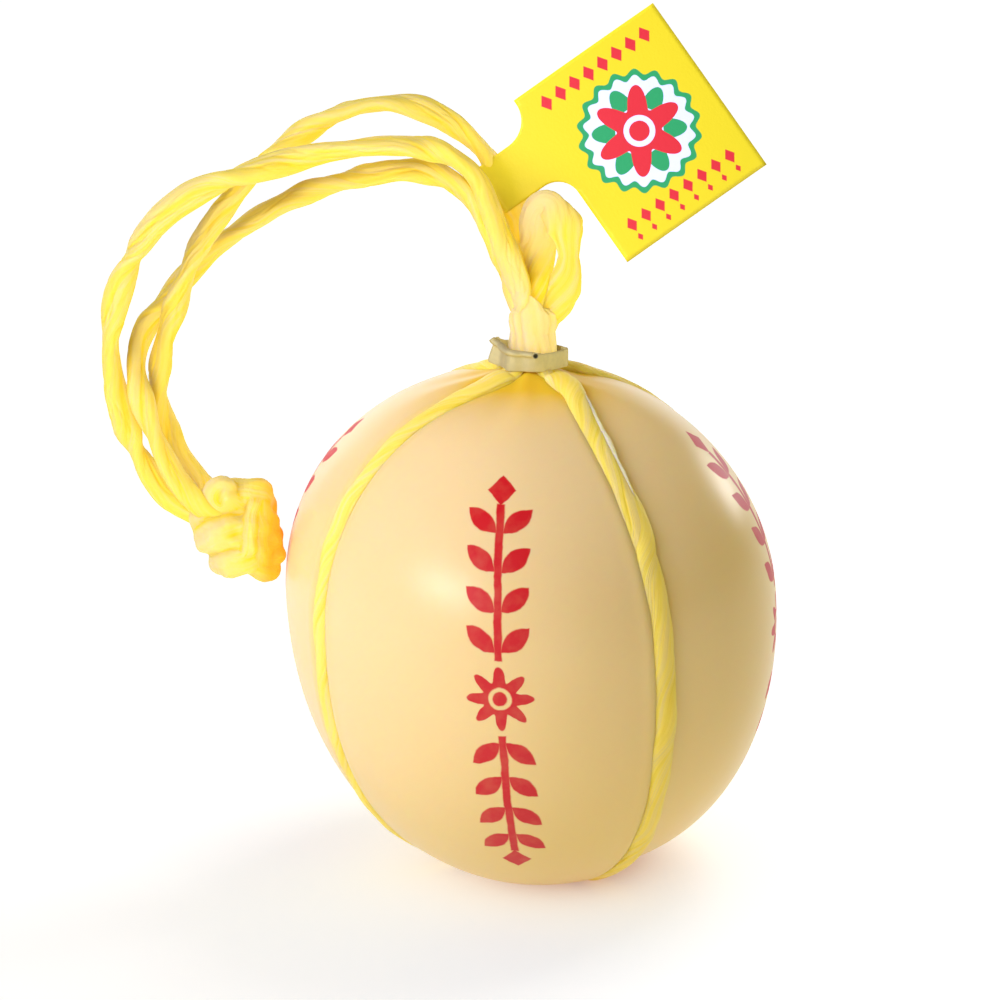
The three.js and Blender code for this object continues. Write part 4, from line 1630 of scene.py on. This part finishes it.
class CACIO_OT_gather(bpy.types.Operator):
    """Film gathered above the band, with the folded bight beside it"""

    bl_idname = "cacio.gather"
    bl_label = "Neck and bight"

    # Levels of the neck: the height, the middle and half the width and depth of each
    LEVELS = (
        (0.1268, -0.0004, 0.0000, 0.0066, 0.0046),
        (0.1310, 0.0002, 0.0000, 0.0060, 0.0046),
        (0.1355, 0.0002, 0.0000, 0.0055, 0.0048),
        (0.1390, 0.0006, -0.0002, 0.0062, 0.0055),
        (0.1420, 0.0008, -0.0004, 0.0061, 0.0060),
        (0.1446, 0.0004, -0.0006, 0.0047, 0.0058),
    )
    NECK_SEED = 51
    COLUMNS = 160
    ROWS = 70
    NECK_TWIST = 30.0
    PLEATS = 11
    PLEAT_DRIFT = (0.9, 3, 1.0)
    FINE_PLEATS = 17
    FINE_START = 2.0
    FINE_TWIST = 90
    FINE_SHARE = 0.3
    PLEAT_DEPTH = 0.09
    BULGE = 0.04
    BULGES = 5
    FRONT = 1.47 * math.pi
    TIP_HEIGHT = 0.0012
    TIP_WIDTH = 0.3
    SIDE_FALL = 0.0034
    SIDE_WIDTH = 0.75
    NICK = 0.0002
    NICKS = 9
    RAGGED_POWER = 3
    PLEAT_MARK = 0.6
    PALE_MARK = 0.85
    PALE_LEVEL = 0.136
    PALE_REACH = 0.014
    PALE_SHARE = 0.45

    # Bight: how its film lies, and its places of painted golden shade, pale film and creases of painted shade,
    # as shares of its length
    BIGHT = Lay(0.0030, pitch=0.06, squash=0.85, flat=(0.48, 1.16), creases=15, crease_depth=0.10)
    BIGHT_SEED = 61
    BIGHT_BACK = (0.0, 10.0, 0.15)
    BIGHT_GOLD = (0.64, 0.12)
    BIGHT_CREASE = (0.42, 0.07)
    BIGHT_CREASE_WIDTH = 0.45
    BIGHT_PALE = (0.56, 0.10)
    BIGHT_GOLD_MARK = 1.5
    BIGHT_PALE_MARK = 0.8

    def pleats(self, angle, lift):
        """1 on the ridges of the neck's pleats and 0 in their valleys."""
        twist = angle + lift * self.NECK_TWIST
        swing, count, start = self.PLEAT_DRIFT
        broad = np.abs(np.sin(self.PLEATS / 2 * twist + swing * np.sin(count * angle + start)))
        fine = np.abs(np.sin(self.FINE_PLEATS / 2 * twist + self.FINE_START + lift * self.FINE_TWIST))
        return (1 - self.FINE_SHARE) * broad + self.FINE_SHARE * fine

    def neck(self):
        """Pleated film from the band up to the strands, drawn in at its top to a tip in front."""
        rng = np.random.default_rng(self.NECK_SEED)
        levels = np.array(self.LEVELS)
        height = np.linspace(levels[0, 0], levels[-1, 0], self.ROWS)
        x, y, wide, deep = (np.interp(height, levels[:, 0], levels[:, k])[:, None] for k in range(1, 5))
        angle = np.linspace(0, TURN, self.COLUMNS + 1)[None]
        lift = (height - height[0])[:, None]
        pleat = self.pleats(angle, lift)
        bulge = self.BULGE * np.sin(self.BULGES * angle + rng.random() * TURN)
        share = 1 - self.PLEAT_DEPTH * (1 - pleat) - bulge
        front = np.abs(angle - self.FRONT)
        ragged = self.TIP_HEIGHT * bell(front, self.TIP_WIDTH) + self.NICK * np.sin(self.NICKS * angle)
        ragged = ragged - self.SIDE_FALL * (1 - bell(front, self.SIDE_WIDTH))
        level = height[:, None] + (lift / lift[-1]) ** self.RAGGED_POWER * ragged
        rings = np.stack([x + wide * share * np.cos(angle), y + deep * share * np.sin(angle), level], axis=-1)
        pleat = pleat[:, :-1]
        pale = self.PALE_MARK * bell(height - self.PALE_LEVEL, self.PALE_REACH)[:, None]
        # The crease mark paints shade into the valleys of the pleats
        marks = {
            "crease": self.PLEAT_MARK * (1 - pleat).clip(0, 1) ** 2,
            "pale": pale * (1 - self.PALE_SHARE + self.PALE_SHARE * pleat),
        }
        return Skin(rings[:, :-1], lift[:, 0], np.broadcast_to(angle / TURN, rings.shape[:2]), marks)

    def bight(self):
        """Flat film folded over itself, pale past the fold, with painted golden shade down its left leg and
        along its fold.
        """
        route = np.array(BIGHT_ROUTE)
        line, along = smooth_route(route[:, :3], self.BIGHT.step)
        steps = np.linalg.norm(np.diff(route[:, :3], axis=0), axis=1)
        places = np.concatenate([[0.0], np.cumsum(steps)]) / steps.sum()
        share = along / along[-1]
        swell = np.interp(share, places, route[:, 3]) / self.BIGHT.reach
        sides = facing_sides(line, self.BIGHT_BACK)
        skin = twist_film(line, along, sides, self.BIGHT, self.BIGHT_SEED, swell)
        gold_from, gold_reach = self.BIGHT_GOLD
        gold = np.clip((share - gold_from) / gold_reach, 0, 1)[:, None]
        fold, fold_reach = self.BIGHT_CREASE
        angle = np.linspace(0, TURN, self.BIGHT.columns, endpoint=False)
        border = bell(share - fold, fold_reach)[:, None] * bell(angle - math.pi / 2, self.BIGHT_CREASE_WIDTH)
        crease = skin.marks["crease"]
        crease[:] = np.maximum(crease, self.BIGHT_GOLD_MARK * np.maximum(gold, border))
        middle, reach = self.BIGHT_PALE
        pale = self.BIGHT_PALE_MARK * bell(share - middle, reach)
        skin.marks["pale"] = np.broadcast_to(pale[:, None], crease.shape)
        return skin

    def execute(self, context):
        film = twine_finish(context.scene.caciocavallo)
        for name, skin, node in (("neck_film", self.neck(), "neck"), ("bight_twine", self.bight(), "bight")):
            add_piece(name, build_mesh(name, [skin]), film, "twine", node, hanging=True)
        return {"FINISHED"}


class CACIO_OT_band(bpy.types.Operator):
    """Aluminium strip that is crimped round the gathered twine"""

    bl_idname = "cacio.band"
    bl_label = "Band"

    # Strip: its lap, its dents, its pinched ends and its left end, which leans out and stands higher
    TURNS = (rad(-72), rad(-72 - 360 - 52))
    STEPS = 240
    PROFILE_STEPS = 24
    PROFILE_POWER = 0.35
    MAP_LENGTH = 0.05
    INSET = 0.0004
    DENTS = 9
    DENT = 0.0004
    DENT_POWER = 6
    LAP_RISE = 0.0009
    LAP_FROM = 0.97
    LAP_REACH = 0.06
    PINCH = (0.45, 0.95)
    PINCH_DEPTH = 0.8
    WOBBLE = 0.0003
    WOBBLES = 3
    LEFT_REACH = rad(52)
    LEFT_LEAN = 0.0010
    LEFT_RISE = 0.0013
    LEFT_HEIGHT = 0.0015

    # Wire along the strip's top edge: its tip runs on from the strip and its mouth is hollow
    WIRE = Lay(0.0008, ply_share=0.95, squash=1.0, creases=2, crease_depth=0.03, columns=24, step=0.0003)
    WIRE_SEED = 71
    WIRE_POINTS = 40
    WIRE_OUT = 0.0004
    WIRE_SINK = 0.0001
    WIRE_TIP = ((0.0003, -0.0006, 0.0), (0.0004, -0.0014, 0.0002))
    WIRE_TURNS = (rad(-168), rad(-84))
    WIRE_MOUTH = ((0.62, 0.0), (0.56, 0.0010))

    def left(self, angle):
        """1 at the band's left end and 0 away from it."""
        return bell((angle + TURN) % TURN - math.pi, self.LEFT_REACH)

    def oval(self, angle, extra):
        """Points of the band's oval, grown by a distance."""
        dent = self.DENT * np.abs(np.sin(self.DENTS / 2 * angle)) ** self.DENT_POWER
        half = np.array(BAND_HALF)[None] - self.INSET + (extra - dent)[:, None]
        outer = np.clip((np.abs(np.cos(angle)) - self.PINCH[0]) / (self.PINCH[1] - self.PINCH[0]), 0, 1)
        pinch = 1 - self.PINCH_DEPTH * outer**2 * (3 - 2 * outer)
        return np.column_stack([BAND_X + half[:, 0] * np.cos(angle), half[:, 1] * pinch * np.sin(angle)])

    def levels(self, band, angle):
        """Bottom and top of the strip, which stands higher at the left."""
        left = self.left(angle)
        low = BAND_BOTTOM + self.WOBBLE * np.sin(self.WOBBLES * angle) + self.LEFT_RISE * left
        return low, low + band.height + self.LEFT_HEIGHT * left

    def strip(self, band):
        """Flat strip with rounded edges that goes once round and laps over itself."""
        angle = np.linspace(*self.TURNS, self.STEPS)
        turned = (self.TURNS[0] - angle) / TURN
        flat = self.oval(angle, self.LAP_RISE * np.clip((turned - self.LAP_FROM) / self.LAP_REACH, 0, 1))
        low, top = self.levels(band, angle)
        line = np.column_stack([flat, (low + top) / 2])
        out = np.column_stack([np.cos(angle), np.sin(angle), np.zeros(self.STEPS)])
        turn = np.linspace(0, TURN, self.PROFILE_STEPS, endpoint=False)
        wide, high = (
            np.sign(wave) * np.abs(wave) ** self.PROFILE_POWER for wave in (np.cos(turn), np.sin(turn))
        )
        outward = band.wall / 2 * wide[None] - self.LEFT_LEAN * self.left(angle)[:, None] * high[None]
        upward = ((top - low) / 2)[:, None] * high[None]
        rings = line[:, None] + outward[..., None] * out[:, None]
        rings[..., 2] += upward
        around = np.tile(np.linspace(0, 1, self.PROFILE_STEPS + 1), (self.STEPS, 1))
        return Skin(rings[::-1], np.linspace(0, self.MAP_LENGTH, self.STEPS), around, {})

    def wire(self, band):
        """Round wire along the strip's top edge, from its left end to an open end at the front."""
        angle = np.linspace(*self.WIRE_TURNS, self.WIRE_POINTS)
        flat = self.oval(angle, self.LAP_RISE + self.WIRE_OUT - self.LEFT_LEAN * self.left(angle))
        line = np.column_stack([flat, self.levels(band, angle)[1] - self.WIRE_SINK])
        line = np.vstack([line, line[-1] + np.array(self.WIRE_TIP)])
        line, along = smooth_route(line, self.WIRE.step)
        sides = carried_sides(line, (0.0, 0.0, 1.0))
        wire = twist_film(line, along, sides, self.WIRE, self.WIRE_SEED)
        rim = wire.rings[-1] - line[-1]
        ahead = unit(line[-1] - line[-2])
        mouth = [line[-1] + share * rim - depth * ahead for share, depth in self.WIRE_MOUTH]
        rings = np.concatenate([wire.rings, np.array(mouth)])
        # The mouth's rings are marked for painted shade inside the hollow wire
        hollow = np.zeros(rings.shape[:2])
        hollow[-len(mouth) :] = 1.0
        along = np.append(along, along[-1] + self.WIRE.step * np.arange(1, 1 + len(mouth)))
        around = np.concatenate([wire.around, wire.around[-1:].repeat(len(mouth), axis=0)])
        return Skin(rings, along, around, {"hollow": hollow})

    def execute(self, context):
        band = context.scene.caciocavallo.band
        mesh = build_mesh("band_strip", [self.strip(band), self.wire(band)])
        add_piece("band_strip", mesh, make_band_metal(band), "band", "band", hanging=True)
        return {"FINISHED"}


class CACIO_PT_panel(bpy.types.Panel):
    """The pieces of the object, in the order in which they are made"""

    bl_idname = "CACIO_PT_panel"
    bl_label = "Caciocavallo"
    bl_space_type = "VIEW_3D"
    bl_region_type = "UI"
    bl_category = "Cheese"

    def draw(self, context):
        settings = context.scene.caciocavallo
        for operator in OPERATORS:
            self.layout.operator(operator.bl_idname)
        for group in ("cheese", "twine", "band", "tag", "stage"):
            box = self.layout.box()
            box.label(text=group.capitalize())
            part = getattr(settings, group)
            for name in part.__annotations__:
                box.prop(part, name)


OPERATORS = (
    CACIO_OT_stage,
    CACIO_OT_knot,
    CACIO_OT_tag,
    CACIO_OT_strands,
    CACIO_OT_cheese,
    CACIO_OT_sling,
    CACIO_OT_gather,
    CACIO_OT_band,
)
CLASSES = (
    CheeseSettings,
    TwineSettings,
    BandSettings,
    TagSettings,
    StageSettings,
    CaciocavalloSettings,
    *OPERATORS,
    CACIO_PT_panel,
)


def register():
    for cls in CLASSES:
        bpy.utils.register_class(cls)
    bpy.types.Scene.caciocavallo = PointerProperty(type=CaciocavalloSettings)


def unregister():
    del bpy.types.Scene.caciocavallo
    for cls in reversed(CLASSES):
        bpy.utils.unregister_class(cls)


def main():
    register()
    bpy.ops.cacio.stage()
    bpy.ops.cacio.knot()
    bpy.ops.cacio.tag()
    bpy.ops.cacio.strands()
    bpy.ops.cacio.cheese()
    bpy.ops.cacio.sling()
    bpy.ops.cacio.gather()
    bpy.ops.cacio.band()


if __name__ == "__main__":
    main()
